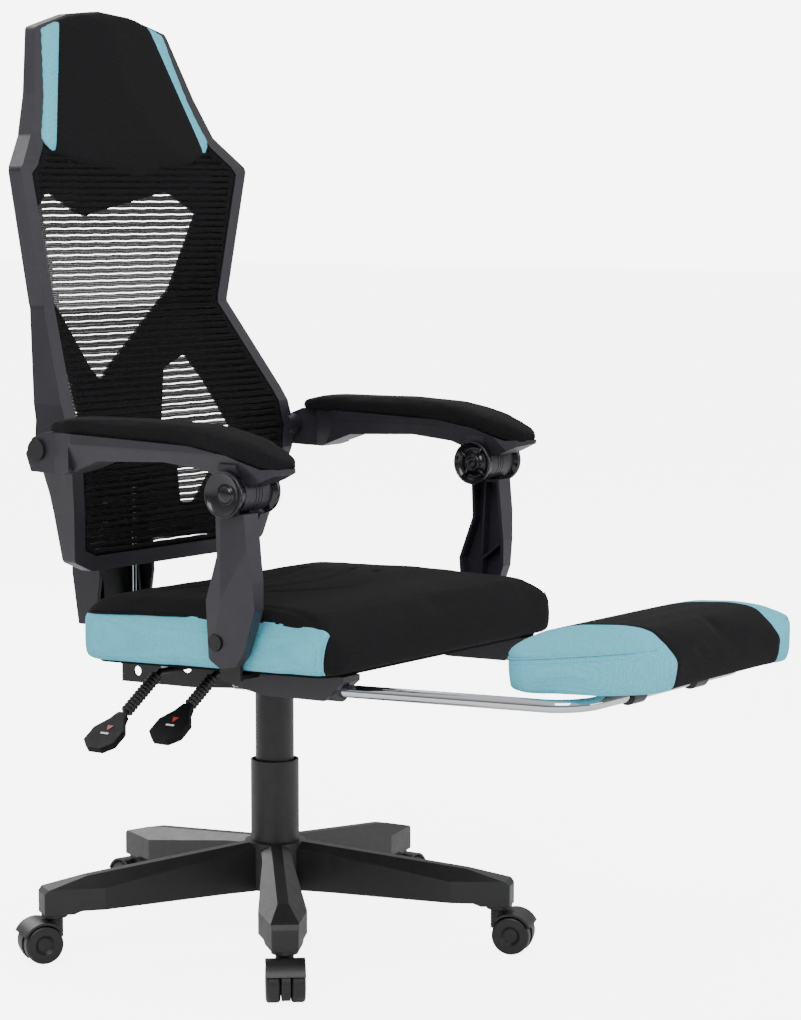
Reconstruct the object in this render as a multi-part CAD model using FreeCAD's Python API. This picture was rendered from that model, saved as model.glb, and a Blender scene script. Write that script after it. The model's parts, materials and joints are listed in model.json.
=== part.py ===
"""Reclining gaming chair with a mesh back, linked arms and a pull-out footrest.

Millimetres. Origin on the floor under the gas lift's axis, +Z up. The chair faces -Y, so a
sitter's right side is -X. Each sub-part is written to parts/NODE.step.
"""

import FreeCAD, Part
import math
import os

# Casters
WHEEL_R = 25.0
WHEEL_WIDTH = 18.0
WHEEL_GAP = 13.0
CASTER_TRAIL = 19.0
HOOD_GAP = 1.5
HOOD_WALL = 3.0
HOOD_BOSS_R = 11.5
STEM_R = 5.5
STEM_GRIP = 20.0
WHEEL_EDGE_R = 4.0
CASTER_AXLE_R = 4.0
RUN_CLEARANCE = 0.05
BODY_GAP = 0.5

# Star base
LEG_COUNT = 5
FIRST_LEG_ANGLE = 4.6
STEM_CIRCLE = 305.0
HUB_R = 40.0
HUB_TOP = 133.0
HUB_BOTTOM = 70.0
LEG_TIP_R = STEM_CIRCLE + 17.0
LEG_TIP_BOTTOM = 2 * WHEEL_R + HOOD_GAP + HOOD_WALL + 7.5
LEG_TIP_HEIGHT = 33.0
LEG_BREAK_R = STEM_CIRCLE - 43.0
LEG_BREAK_TOP = 108.0
LEG_WIDE_HALF = 31.0
LEG_ROOT_HALF = 20.0
LEG_TIP_HALF = 16.5
LEG_WALL = 4.5
LEG_RIBS = (95.0, 150.0, 205.0)
LEG_RIB_THICK = 3.0
LEG_RIB_HEIGHT = 28.0
COLLAR_R = 17.0

# Gas lift
CYLINDER_R = 22.0
CYLINDER_TOP = 232.0
PISTON_R = 14.0
PISTON_TOP = 382.0
PISTON_FOOT = 141.0
RELEASE_PIN_R = 4.0
LOWER_COVER_R = 32.0
UPPER_COVER_R = 25.5
COVER_WALL = 2.5
LOWER_COVER_TOP = 242.0
UPPER_COVER_BOTTOM = 200.0
SOCKET_BOTTOM = 341.0

# Seat
SEAT_HALF = 250.0
SEAT_REAR_Y = 130.0
SEAT_FRONT_Y = -287.0
SEAT_REAR_BOTTOM = 403.0
SEAT_SLOPE = 0.033
SEAT_HEIGHT = 75.0
BOARD_THICK = 11.0
BOARD_MARGIN = 16.0
TRAY_HALF = 95.0
TRAY_WALL = 3.0
TRAY_FRONT_Y = -105.0
TRAY_REAR_Y = 184.0

# Recline pivot, arm linkage pivots as (y, z)
RECLINE_PIVOT = (105.0, 370.0)
ARM_REAR_PIVOT = (157.0, 665.0)
BARREL_PIVOT = (-161.0, 628.0)
LINK_PIVOT = (-134.0, 444.0)
RECLINE_AXLE_R = 6.0
SPRING_TURNS = 8
SPRING_PITCH = 5.2
SPRING_WIRE_R = 2.4
BRACKET_EYE_R = 14.5
BRACKET_HALF = 38.0
BRACKET_WALL = 4.0
REAR_PIN_R = 4.0
REAR_PIVOT_SLACK = 4.6
KNUCKLE_PAD_R = 15.0
PIN_ROOT_X = 225.0

# Back
RING_WIDTH = 20.0
MESH_THICK = 3.0
SHELL_THICK = 5.0
SHELL_EDGE_X = 230.0
SHELL_RIDGE_X = 20.0
SPINE_HALF = 57.0
SPINE_WALL = 6.0
SPINE_ROD_R = 4.0
HEADREST_THICK = 34.0

# Arms
ARM_X = SEAT_HALF + 11.0
ARM_REACH = (ARM_X - 61.0, ARM_X + 59.0)
PAD_HALF = 32.0
RIM_HALF = 33.0
KNUCKLE_INNER = ARM_X - 12.0
KNUCKLE_OUTER = ARM_X + 20.0
BARREL_R = 24.0
BARREL_INNER = ARM_X - 21.0
BARREL_OUTER = ARM_X + 24.0
EAR_THICK = 7.0
CAP_R = 29.0
CAP_THICK = 9.0
BARREL_PIN_R = 6.0
LINK_INNER = SEAT_HALF + 9.0
LINK_OUTER = LINK_INNER + 29.0
LINK_RIDGE_Y = -146.0
LINK_FACE_THICK = 13.0
BOLT_HEAD_R = 10.0
BOLT_HEAD_THICK = 6.0
BOLT_HEAD_SINK = 8.0
ARM_BRACKET_THICK = 5.0
LINK_BOLT_R = 6.0

# Footrest
RAIL_X = SEAT_HALF - 54.0
RAIL_R = 8.0
RAIL_REAR_Y = -95.0
CROSS_Y = -600.0
RAIL_MID_Z = 385.0
RAIL_MID_Y = -250.0
RAIL_SLOPE = 0.0384
RAIL_BEND_R = 45.0
FOOT_HALF = 200.0
FOOT_HEIGHT = 75.0
FOOT_REAR_Y = -473.0
FOOT_FRONT_Y = -692.0
FOOT_CORNER_R = 78.0
FOOT_SLOPE = 0.07
HINGE_PLATE_THICK = 3.0
COLLAR_WALL = 3.5
COLLAR_X = 72.0

# Levers: (y, height of the rod, reach of the sloping part)
LIFT_LEVER = (-22.0, 377.0, 60.0)
RECLINE_LEVER = (72.0, 371.0, 78.0)
LEVER_FALL = 0.655
LEVER_ROD_R = 4.0
LEVER_BEND_X = 148.0
LEVER_ROOT_X = 80.0
BELLOWS_R = 8.5
BELLOWS_PITCH = 6.0


def vec(x, y, z):
    return FreeCAD.Vector(x, y, z)


def corner_arc(before, corner, after, radius):
    """Start, middle and end of the arc that rounds one corner of an outline."""
    to_before = (before - corner).normalize()
    to_after = (after - corner).normalize()
    half_turn = to_before.getAngle(to_after) / 2.0
    reach = radius / math.tan(half_turn)
    limit = 0.45 * min(before.distanceToPoint(corner), after.distanceToPoint(corner))
    reach = min(reach, limit)
    radius = reach * math.tan(half_turn)
    bisector = (to_before + to_after).normalize()
    centre = corner + bisector * (radius / math.sin(half_turn))
    return corner + to_before * reach, centre - bisector * radius, corner + to_after * reach


def outline(points, radius=0.0):
    """Closed wire through the corner points, each corner rounded by the radius."""
    if radius <= 0.0:
        return Part.makePolygon(points + [points[0]])
    count = len(points)
    arcs = []
    for i in range(count):
        arcs.append(corner_arc(points[i - 1], points[i], points[(i + 1) % count], radius))
    edges = []
    for i in range(count):
        start, middle, end = arcs[i]
        edges.append(Part.Arc(start, middle, end).toShape())
        next_start = arcs[(i + 1) % count][0]
        if end.distanceToPoint(next_start) > 1e-6:
            edges.append(Part.LineSegment(end, next_start).toShape())
    return Part.Wire(edges)


def prism_x(profile, low, high, radius=0.0):
    """Solid of a (y, z) profile from x = low to x = high."""
    wire = outline([vec(low, y, z) for y, z in profile], radius)
    return Part.Face(wire).extrude(vec(high - low, 0, 0))


def prism_y(profile, low, high, radius=0.0):
    """Solid of an (x, z) profile from y = low to y = high."""
    wire = outline([vec(x, low, z) for x, z in profile], radius)
    return Part.Face(wire).extrude(vec(0, high - low, 0))


def prism_z(profile, low, high, radius=0.0):
    """Solid of an (x, y) profile from z = low to z = high."""
    wire = outline([vec(x, y, low) for x, y in profile], radius)
    return Part.Face(wire).extrude(vec(0, 0, high - low))


def box(x, y, z):
    """Box between the low and high ends of each of the three ranges."""
    return Part.makeBox(x[1] - x[0], y[1] - y[0], z[1] - z[0], vec(x[0], y[0], z[0]))


def rod_z(radius, low, high, x=0.0, y=0.0):
    return Part.makeCylinder(radius, high - low, vec(x, y, low), vec(0, 0, 1))


def rod_x(radius, low, high, y, z):
    return Part.makeCylinder(radius, high - low, vec(low, y, z), vec(1, 0, 0))


def ring_z(outer, inner, low, high):
    return rod_z(outer, low, high).cut(rod_z(inner, low, high))


def trim(shape, point, normal):
    """Cut away everything beyond the plane through the point, on the side of its normal."""
    size = 2000.0
    block = Part.makeBox(size, size, size, vec(-size / 2, -size / 2, 0))
    turn = FreeCAD.Rotation(vec(0, 0, 1), normal)
    block.Placement = FreeCAD.Placement(point, turn)
    return shape.cut(block)


def mirrored(half):
    """Both sides of an outline from the points of its +x half, which start and end near x = 0."""
    return half + [(-x, y) for x, y in reversed(half) if x > 0]


def mirror_x(shape):
    return shape.mirror(vec(0, 0, 0), vec(1, 0, 0))


def pair(shape):
    return Part.makeCompound([shape, mirror_x(shape)])


def write(name, shape):
    shape.exportStep("parts/" + name + ".step")


def write_sides(name, left):
    """Write the left piece, and its mirror image as the right one."""
    write(name + "_left", left)
    write(name + "_right", mirror_x(left))


# Star base and casters


def star_leg():
    """One leg along +X: a tapered, faceted beam, open underneath, with its caster collar."""
    tip_top = LEG_TIP_BOTTOM + LEG_TIP_HEIGHT
    side = [(0, HUB_BOTTOM), (0, HUB_TOP), (HUB_R, HUB_TOP), (LEG_BREAK_R, LEG_BREAK_TOP)]
    side += [(LEG_TIP_R - 5, tip_top), (LEG_TIP_R, tip_top - 6), (LEG_TIP_R, LEG_TIP_BOTTOM)]
    side += [(STEM_CIRCLE - 20, LEG_TIP_BOTTOM), (STEM_CIRCLE - 30, LEG_TIP_BOTTOM + 4)]
    top = [(0, LEG_ROOT_HALF), (HUB_R * 2, LEG_ROOT_HALF), (LEG_BREAK_R - 17, LEG_WIDE_HALF)]
    top += [(LEG_TIP_R, LEG_TIP_HALF)]
    top += [(r, -half) for r, half in reversed(top)]
    width = 2 * LEG_WIDE_HALF
    beam = prism_y(side, -width, width).common(prism_z(top, 0, HUB_TOP, 3.0))
    rise = vec(LEG_BREAK_R - HUB_R, 0, LEG_BREAK_TOP - HUB_TOP).normalize()
    for way in (-1, 1):
        normal = (vec(-rise.z, 0, rise.x) + vec(0, way * 0.62, 0)).normalize()
        beam = trim(beam, vec(HUB_R, way * 7, HUB_TOP), normal)
    roof = [(HUB_R + 6, 0), (HUB_R + 6, HUB_TOP - 14), (LEG_BREAK_R - 6, LEG_BREAK_TOP - 14)]
    roof += [(STEM_CIRCLE - 20, LEG_BREAK_TOP - 22), (STEM_CIRCLE - 20, 0)]
    plan = [(HUB_R + 6, LEG_ROOT_HALF - LEG_WALL), (HUB_R * 2, LEG_ROOT_HALF - LEG_WALL)]
    plan += [(LEG_BREAK_R - 17, LEG_WIDE_HALF - LEG_WALL), (STEM_CIRCLE - 20, LEG_TIP_HALF)]
    plan += [(r, -half) for r, half in reversed(plan)]
    pocket = prism_y(roof, -width, width).common(prism_z(plan, 0, HUB_TOP))
    beam = beam.cut(pocket)
    for r in LEG_RIBS:
        ends = (-LEG_WIDE_HALF, LEG_WIDE_HALF)
        rib = box((r, r + LEG_RIB_THICK), ends, (HUB_BOTTOM + 2, HUB_BOTTOM + LEG_RIB_HEIGHT))
        beam = beam.fuse(rib.common(pocket))
    collar = rod_z(COLLAR_R, LEG_TIP_BOTTOM - 5, LEG_TIP_BOTTOM + 4, STEM_CIRCLE)
    socket = rod_z(STEM_R + RUN_CLEARANCE, 0, LEG_TIP_BOTTOM + STEM_GRIP + 2, STEM_CIRCLE)
    return beam.fuse(collar).cut(socket)


def star_base():
    """Five legs about a hub with the bore that the gas cylinder is pressed into."""
    base = rod_z(HUB_R, HUB_BOTTOM, HUB_TOP)
    leg = star_leg()
    for i in range(LEG_COUNT):
        turned = leg.copy()
        turned.rotate(vec(0, 0, 0), vec(0, 0, 1), FIRST_LEG_ANGLE + i * 360.0 / LEG_COUNT)
        base = base.fuse(turned)
    return base.cut(rod_z(CYLINDER_R, 0, HUB_TOP + 1)).removeSplitter()


def to_stem(shape, index):
    """Carry a caster piece from the origin to its leg, trailing outwards."""
    moved = shape.copy()
    moved.translate(vec(STEM_CIRCLE, 0, 0))
    moved.rotate(vec(0, 0, 0), vec(0, 0, 1), FIRST_LEG_ANGLE + index * 360.0 / LEG_COUNT)
    return moved


def across(radius, half):
    """Cylinder on the caster's axle line."""
    return Part.makeCylinder(radius, 2 * half, vec(CASTER_TRAIL, -half, WHEEL_R), vec(0, 1, 0))


def caster_hood():
    """Fender over both wheels, the web between them and the boss round the stem."""
    half = WHEEL_GAP / 2 + WHEEL_WIDTH
    outer = WHEEL_R + HOOD_GAP + HOOD_WALL
    fender = across(outer, half).cut(across(WHEEL_R + HOOD_GAP, half + 1))
    axle = vec(CASTER_TRAIL, 0, WHEEL_R)
    fender = trim(fender, axle, vec(0.42, 0, -0.9))
    fender = trim(fender, axle - vec(CASTER_TRAIL, 0, 0), vec(-1, 0, 0))
    inside = across(WHEEL_R + HOOD_GAP, WHEEL_GAP / 2 - 1.0)
    web = trim(inside, vec(CASTER_TRAIL, 0, 6), vec(0, 0, -1))
    boss = rod_z(HOOD_BOSS_R, WHEEL_R + 6, LEG_TIP_BOTTOM - 7)
    boss = boss.cut(across(WHEEL_R + HOOD_GAP, half + 1).cut(inside))
    hood = web.fuse(fender).fuse(boss)
    hood = hood.cut(across(CASTER_AXLE_R + RUN_CLEARANCE, half + 1))
    return hood.cut(rod_z(STEM_R, WHEEL_R + 12, LEG_TIP_BOTTOM)).removeSplitter()


def caster_stem():
    return rod_z(STEM_R, WHEEL_R + 12, LEG_TIP_BOTTOM + STEM_GRIP)


def caster_wheels():
    """Twin wheels on one axle."""
    inner_face = vec(CASTER_TRAIL, WHEEL_GAP / 2, WHEEL_R)
    way = vec(0, 1, 0)
    dish_floor = WHEEL_WIDTH - 4.0
    wheel = Part.makeCylinder(WHEEL_R, WHEEL_WIDTH, inner_face, way)
    wheel = wheel.makeFillet(WHEEL_EDGE_R, wheel.Edges)
    dish = Part.makeCone(9, 13, WHEEL_WIDTH - dish_floor, inner_face + way * dish_floor, way)
    wheel = wheel.cut(dish)
    other = wheel.mirror(vec(0, 0, 0), way)
    axle = across(CASTER_AXLE_R, WHEEL_GAP / 2 + dish_floor)
    return wheel.fuse(axle).fuse(other)


def write_base():
    write("star_base", star_base())
    for i in range(LEG_COUNT):
        write("caster_hood_%d" % (i + 1), to_stem(caster_hood(), i))
        write("caster_stem_%d" % (i + 1), to_stem(caster_stem(), i))
        write("caster_wheels_%d" % (i + 1), to_stem(caster_wheels(), i))


# Gas lift


def write_gas_lift():
    bore = PISTON_R + RUN_CLEARANCE
    floor = HUB_BOTTOM + 3
    cylinder = rod_z(CYLINDER_R, HUB_BOTTOM - 4, CYLINDER_TOP).cut(rod_z(bore, floor, CYLINDER_TOP))
    cylinder = cylinder.cut(rod_z(CYLINDER_R - 4, floor, CYLINDER_TOP - 80))
    write("gas_cylinder", cylinder)
    pin_bore = rod_z(RELEASE_PIN_R + RUN_CLEARANCE, PISTON_TOP - 30, PISTON_TOP)
    write("gas_piston", rod_z(PISTON_R, PISTON_FOOT, PISTON_TOP).cut(pin_bore))
    write("gas_release_pin", rod_z(RELEASE_PIN_R, PISTON_TOP - 26, PISTON_TOP + 4))
    lower = ring_z(LOWER_COVER_R, LOWER_COVER_R - COVER_WALL, HUB_TOP, LOWER_COVER_TOP)
    write("lift_cover_lower", lower)
    top = SOCKET_BOTTOM - BODY_GAP
    upper = ring_z(UPPER_COVER_R, CYLINDER_R + BODY_GAP, UPPER_COVER_BOTTOM, top)
    cap = ring_z(CYLINDER_R + BODY_GAP, PISTON_R, top - 4, top)
    write("lift_cover_upper", upper.fuse(cap))


# Seat and mechanism


def seat_under(y):
    """Height of the cushion's flat underside, which pitches up to the front."""
    return SEAT_REAR_BOTTOM + (SEAT_REAR_Y - y) * SEAT_SLOPE


def board_under(y):
    return seat_under(y) - BOARD_THICK


def seat_board():
    """Plywood pan under the cushion."""
    rear = SEAT_REAR_Y - BOARD_MARGIN
    front = SEAT_FRONT_Y + BOARD_MARGIN
    side = [(rear, board_under(rear)), (rear, seat_under(rear)), (front, seat_under(front))]
    side += [(front, board_under(front))]
    half = SEAT_HALF - BOARD_MARGIN
    plan = mirrored([(half, rear), (half, front)])
    return prism_x(side, -half, half).common(prism_z(plan, 300, 500, 30.0))


def seat_cushion():
    """Upholstered seat, crowned across, with a waterfall front."""
    rear, front = SEAT_REAR_Y, SEAT_FRONT_Y
    top = SEAT_REAR_BOTTOM + SEAT_HEIGHT
    side = [(rear, seat_under(rear)), (rear, top - 22), (rear - 30, top), (-80, top + 7)]
    side += [(front + 45, top + 4), (front + 8, top - 14), (front, top - 40), (front, seat_under(front))]
    low = SEAT_REAR_BOTTOM - 5
    across_profile = mirrored([(SEAT_HALF, low), (SEAT_HALF, top - 16), (SEAT_HALF - 40, top + 7)])
    plan = mirrored([(SEAT_HALF, rear), (SEAT_HALF, front)])
    body = prism_x(side, -SEAT_HALF, SEAT_HALF, 14.0)
    body = trim(body, vec(0, rear, seat_under(rear)), vec(0, -SEAT_SLOPE, -1))
    return body.common(prism_y(across_profile, front, rear)).common(prism_z(plan, low, top + 30, 40.0))


def tray_side():
    """Profile of the mechanism's side walls, which follow the board and reach out behind it."""
    rear = RECLINE_PIVOT[0] - 5
    profile = [(TRAY_FRONT_Y, 362), (TRAY_FRONT_Y, board_under(TRAY_FRONT_Y)), (rear, board_under(rear))]
    profile += [(TRAY_REAR_Y - 12, 372), (TRAY_REAR_Y, 368), (TRAY_REAR_Y, 341), (62, 344), (-34, 352)]
    return profile


def mechanism_tray():
    """Pressed steel tray that carries the seat, the gas lift's socket and the recline axle."""
    wall = prism_x(tray_side(), TRAY_HALF - TRAY_WALL, TRAY_HALF)
    tray = wall.fuse(mirror_x(wall))
    rear = RECLINE_PIVOT[0] - BRACKET_EYE_R - 4
    top = [(rear, board_under(rear)), (TRAY_FRONT_Y, board_under(TRAY_FRONT_Y))]
    top += [(y, z - TRAY_WALL) for y, z in reversed(top)]
    tray = tray.fuse(prism_x(top, -TRAY_HALF, TRAY_HALF))
    front = box((-TRAY_HALF, TRAY_HALF), (TRAY_FRONT_Y, TRAY_FRONT_Y + TRAY_WALL), (362, 394))
    tray = tray.fuse(front)
    y, z = RECLINE_PIVOT
    tray = tray.cut(rod_x(RECLINE_AXLE_R, -TRAY_HALF, TRAY_HALF, y, z))
    for lever_y, lever_z, _ in (LIFT_LEVER, RECLINE_LEVER):
        tray = tray.cut(rod_x(LEVER_ROD_R + 5, -TRAY_HALF, 0, lever_y, lever_z))
    tray = tray.cut(rod_x(6.5, -TRAY_HALF, TRAY_HALF, TRAY_REAR_Y - 27, 357))
    return tray.cut(rod_z(7, 300, 450)).removeSplitter()


def taper_socket():
    """Cone that seats the gas lift's piston, welded under the tray's top."""
    top = board_under(0) - TRAY_WALL - 1.5
    cone = Part.makeCone(25, 21, top - SOCKET_BOTTOM, vec(0, 0, SOCKET_BOTTOM), vec(0, 0, 1))
    return cone.cut(rod_z(PISTON_R + RUN_CLEARANCE, 0, top + 1))


def rail_z(y):
    """Height of a footrest rail's axis, which climbs towards the front."""
    return RAIL_MID_Z + (RAIL_MID_Y - y) * RAIL_SLOPE


def rail_rod(radius, rear, front):
    """Cylinder on a rail's axis between two y values."""
    start = vec(RAIL_X, rear, rail_z(rear))
    end = vec(RAIL_X, front, rail_z(front))
    return Part.makeCylinder(radius, start.distanceToPoint(end), start, end - start)


def rail_brackets():
    """Moulded guides under the board that the two chrome rails slide through."""
    side = [(-76, board_under(-76)), (-100, 380), (-125, 375), (-156, 371), (-246, 373)]
    side += [(-276, 398), (-276, board_under(-276))]
    body = prism_x(side, RAIL_X - 17, RAIL_X + 17)
    body = body.fuse(rail_rod(RAIL_R + 5.5, -232, -262)).cut(rail_rod(RAIL_R + RUN_CLEARANCE, -40, -300))
    top = vec(0, SEAT_REAR_Y, board_under(SEAT_REAR_Y))
    body = trim(body, top, vec(0, SEAT_SLOPE, 1))
    return pair(body)


def arm_brackets():
    """Steel angles from under the board up the cushion's side to the arm links' pivots."""
    y, z = LINK_PIVOT
    outer = SEAT_HALF + ARM_BRACKET_THICK
    side = [(y - 16, 391), (y + 16, 391), (y + 15, z), (y + 8, z + 14), (y - 8, z + 14), (y - 15, z)]
    upright = prism_x(side, SEAT_HALF, outer, 3.0)
    foot_top = board_under(y + 16) - 0.2
    foot = box((SEAT_HALF - 95, outer), (y - 16, y + 16), (foot_top - 5, foot_top))
    foot = foot.cut(box((RAIL_X - 22, RAIL_X + 22), (-300, 0), (0, 500)))
    joined = upright.fuse(foot.common(box((RAIL_X + 18, outer), (-300, 0), (0, 500))))
    return pair(joined.cut(rod_x(LINK_BOLT_R, 0, 400, y, z)).removeSplitter())


def recline_spring():
    """Coil of the torsion spring that returns the back, as a stack of closed turns."""
    y, z = RECLINE_PIVOT
    turns = []
    for i in range(SPRING_TURNS):
        x = (i - (SPRING_TURNS - 1) / 2.0) * SPRING_PITCH
        turns.append(Part.makeTorus(RECLINE_AXLE_R + 4, SPRING_WIRE_R, vec(x, y, z), vec(1, 0, 0)))
    return Part.makeCompound(turns)


def seat_bolts():
    """Bolts that hold the tray to the board."""
    bolts = []
    for x in (-TRAY_HALF + 20, TRAY_HALF - 20):
        for y in (TRAY_FRONT_Y + 20, 62):
            top = board_under(y) - TRAY_WALL
            bolts.append(rod_z(6, top - 5.3, top - 0.3, x, y))
    return Part.makeCompound(bolts)


def write_seat():
    write("mechanism_tray", mechanism_tray())
    write("taper_socket", taper_socket())
    write("seat_board", seat_board())
    write("seat_cushion", seat_cushion())
    write("rail_brackets", rail_brackets())
    write("arm_brackets", arm_brackets())
    write("recline_spring", recline_spring())
    write("seat_bolts", seat_bolts())
    y, z = RECLINE_PIVOT
    write("recline_axle", rod_x(RECLINE_AXLE_R, -TRAY_HALF - 6, TRAY_HALF + 6, y, z))
    y, z = LINK_PIVOT
    sink = LINK_OUTER - BOLT_HEAD_SINK
    shank = rod_x(LINK_BOLT_R, SEAT_HALF + 0.2, sink, y, z)
    write("link_bolts", pair(shank.fuse(rod_x(BOLT_HEAD_R, sink, sink + BOLT_HEAD_THICK, y, z))))


# Back


def back_outline():
    """Half of the back frame's outline as (x, z), from the crown down."""
    return [(0, 1233), (60, 1227), (131, 1207), (161, 1118), (186, 1064), (230, 1020), (187, 841),
            (227, 718), (237, 665), (211, 575), (195, 510), (158, 495)]


def back_front():
    """Front of the back frame seen from the side, as (y, z) from the foot up."""
    return [(182, 480), (148, 635), (157, 700), (231, 838), (230, 1025), (253, 1066), (302, 1240)]


def back_rear():
    """Rear of the back frame seen from the side, as (y, z) from the crown down."""
    return [(320, 1240), (276, 1066), (252, 1020), (258, 844), (208, 698), (197, 600), (197, 480)]


def shifted(line, dy):
    return [(y + dy, z) for y, z in line]


def outline_prism(inset):
    """Front outline of the back, set in from its edge, as a prism along y."""
    wire = outline([vec(x, 100, z) for x, z in mirrored(back_outline())], 9.0)
    if inset > 0:
        wire = wire.makeOffset2D(-inset, 0, False, False, True)
    return Part.Face(wire).extrude(vec(0, 300, 0))


def back_frame():
    """Moulded ring that the mesh is stretched on."""
    band = prism_x(back_front() + back_rear(), -SEAT_HALF, SEAT_HALF)
    ring = outline_prism(0).cut(outline_prism(RING_WIDTH)).common(band)
    bolt_y, bolt_z = ARM_REAR_PIVOT
    pad = rod_x(KNUCKLE_PAD_R, PIN_ROOT_X, KNUCKLE_INNER - BODY_GAP, bolt_y + 4, bolt_z)
    ring = ring.fuse(pad).fuse(mirror_x(pad))
    return ring.cut(rod_x(REAR_PIN_R, -SEAT_HALF, SEAT_HALF, bolt_y, bolt_z))


def back_mesh():
    """Mesh panel stretched straight across the ring."""
    front = shifted(back_front(), 2)
    behind = shifted(list(reversed(back_front())), 2 + MESH_THICK)
    band = prism_x(front + behind, -SEAT_HALF, SEAT_HALF)
    return outline_prism(RING_WIDTH).common(band)


def shell_section(z, edge_y, ridge_y):
    """Bent section of the shell at one height: straight from each edge to the rear ridge."""
    half = SHELL_EDGE_X
    points = [vec(-half, edge_y, z), vec(-SHELL_RIDGE_X, ridge_y, z), vec(SHELL_RIDGE_X, ridge_y, z)]
    points += [vec(half, edge_y, z)]
    points += [point + vec(0, SHELL_THICK, 0) for point in reversed(points)]
    return Part.makePolygon(points + [points[0]])


def shell_windows():
    """The gem-shaped upper window and the two lower ones, as prisms along y."""
    upper = mirrored([(0, 957), (122, 991), (166, 960), (122, 856), (0, 732)])
    lower = [(130, 766), (96, 747), (81, 675), (97, 612), (97, 561), (116, 560), (142, 598)]
    lower += [(178, 659), (151, 729)]
    other = [(-x, z) for x, z in lower]
    return [prism_y(points, 100, 420, 5.0) for points in (upper, lower, other)]


def back_shell():
    """Faceted outer skeleton behind the mesh, folded along a ridge, with three windows."""
    stations = [(490, 185, 262), (600, 189, 280), (665, 193, 288), (841, 240, 318), (957, 243, 326)]
    stations += [(1030, 243, 318), (1066, 256, 306), (1240, 303, 313)]
    sections = [shell_section(*station) for station in stations]
    plate = Part.makeLoft(sections, True, True)
    plate = plate.common(outline_prism(RING_WIDTH))
    for window in shell_windows():
        plate = plate.cut(window)
    plate = plate.cut(prism_x(spine_profile(), -SPINE_HALF, SPINE_HALF))
    return plate


def spine_profile():
    """Side profile of the spine cover as (y, z)."""
    return [(262, 640), (256, 470), (266, 404), (296, 404), (307, 474), (307, 600), (302, 640)]


def spine_cover():
    """Channel that hides the steel bracket, open to the front."""
    outer = prism_x(spine_profile(), -SPINE_HALF, SPINE_HALF)
    inside = SPINE_HALF - SPINE_WALL
    hollow = [(200, 380), (200, 630), (296, 630), (300, 600), (300, 474), (290, 400), (290, 380)]
    return outer.cut(prism_x(hollow, -inside, inside))


def back_bracket():
    """Steel J-bracket from the recline axle, under the seat and up into the spine."""
    y, z = RECLINE_PIVOT
    outer = [(y, z - 14), (236, 352), (272, 372), (284, 404), (290, 474), (290, 590), (270, 590)]
    outer += [(268, 474), (262, 412), (240, 386), (y, z + 14)]
    bracket = prism_x(outer, -BRACKET_HALF, BRACKET_HALF, 4.0)
    bracket = bracket.fuse(rod_x(BRACKET_EYE_R, -BRACKET_HALF, BRACKET_HALF, y, z))
    gap = BRACKET_HALF - BRACKET_WALL
    hollow = [(60, z - 30), (226, 330), (262, 366), (280, 410), (286, 474), (286, 600), (250, 600)]
    hollow += [(250, 474), (246, 416), (224, 396), (60, z + 30)]
    bracket = bracket.cut(prism_x(hollow, -gap, gap))
    web = [(150, 358), (232, 358), (266, 378), (279, 410), (285, 474), (285, 590), (282, 590), (282, 474)]
    web += [(276, 412), (263, 382), (231, 362), (150, 362)]
    bracket = bracket.fuse(prism_x(web, -gap, gap))
    return bracket.cut(rod_x(RECLINE_AXLE_R + RUN_CLEARANCE, -200, 200, y, z)).removeSplitter()


def headrest_cushion():
    """Padded cover over the frame's crown."""
    half = [(0, 1229), (60, 1223), (120, 1204), (143, 1118), (166, 1058), (150, 1040), (96, 1022)]
    half += [(0, 1010)]
    points = mirrored(half)
    low, kink, crown = shifted(back_front()[-3:], -BODY_GAP)
    thick = HEADREST_THICK
    band = [(low[0] - 8, 1000), (kink[0] - thick + 8, kink[1]), (crown[0] - thick - 12, 1190)]
    band += [(crown[0] - 20, 1225), (crown[0] - 4, crown[1]), crown, kink, low, (low[0], 1000)]
    body = prism_y(points, 100, 400, 10.0)
    body = body.common(prism_x(band, -200, 200))
    for way in (-1, 1):
        upper = vec(way * 120, 284, 1204)
        lower = vec(way * 166, 241, 1058)
        inner = vec(way * 72, 252, 1130)
        slope = (inner - upper).cross(lower - upper) * way
        body = trim(body, upper, slope.normalize())
    return body


def back_bolts():
    """Screws that hold the bracket's web to the spine cover."""
    screws = []
    for z in (500, 540, 570):
        for x in (-20, 20):
            screws.append(Part.makeCylinder(5, 4, vec(x, 278, z), vec(0, 1, 0)))
    return Part.makeCompound(screws)


def spine_rod():
    """Bright rod in the spine's channel, beside the bracket."""
    return rod_z(SPINE_ROD_R, 424, 590, 26, 268)


def write_back():
    write("back_frame", back_frame())
    write("back_mesh", back_mesh())
    write("back_shell", back_shell())
    write("spine_cover", spine_cover())
    write("back_bracket", back_bracket())
    write("headrest_cushion", headrest_cushion())
    write("back_bolts", back_bolts())
    write("spine_rod", spine_rod())
    y, z = ARM_REAR_PIVOT
    shank = rod_x(REAR_PIN_R, PIN_ROOT_X + 1, KNUCKLE_OUTER + 3, y, z)
    head_x = KNUCKLE_OUTER + 2.0
    head = rod_x(REAR_PIN_R + REAR_PIVOT_SLACK + 5, head_x, head_x + 4, y, z)
    write("rear_bolts", pair(shank.fuse(head)))


# Arms


def rim_line():
    """Seam between the arm pad and its shell seen from the side, as (y, z) from the rear."""
    return [(150, 692), (100, 689), (0, 686), (-100, 683), (-160, 674), (-205, 659), (-244, 661)]


def arm_plan():
    """Outline of the arm from above as (x, y), narrow at the rear knuckle."""
    inner = ARM_X - RIM_HALF
    outer = ARM_X + RIM_HALF
    return [(KNUCKLE_INNER, 184), (KNUCKLE_INNER, 120), (inner, 70), (inner, -175), (inner + 14, -222),
            (ARM_X, -243), (outer - 14, -222), (outer, -165), (outer, 90), (KNUCKLE_OUTER + 2, 128),
            (KNUCKLE_OUTER, 184)]


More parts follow.
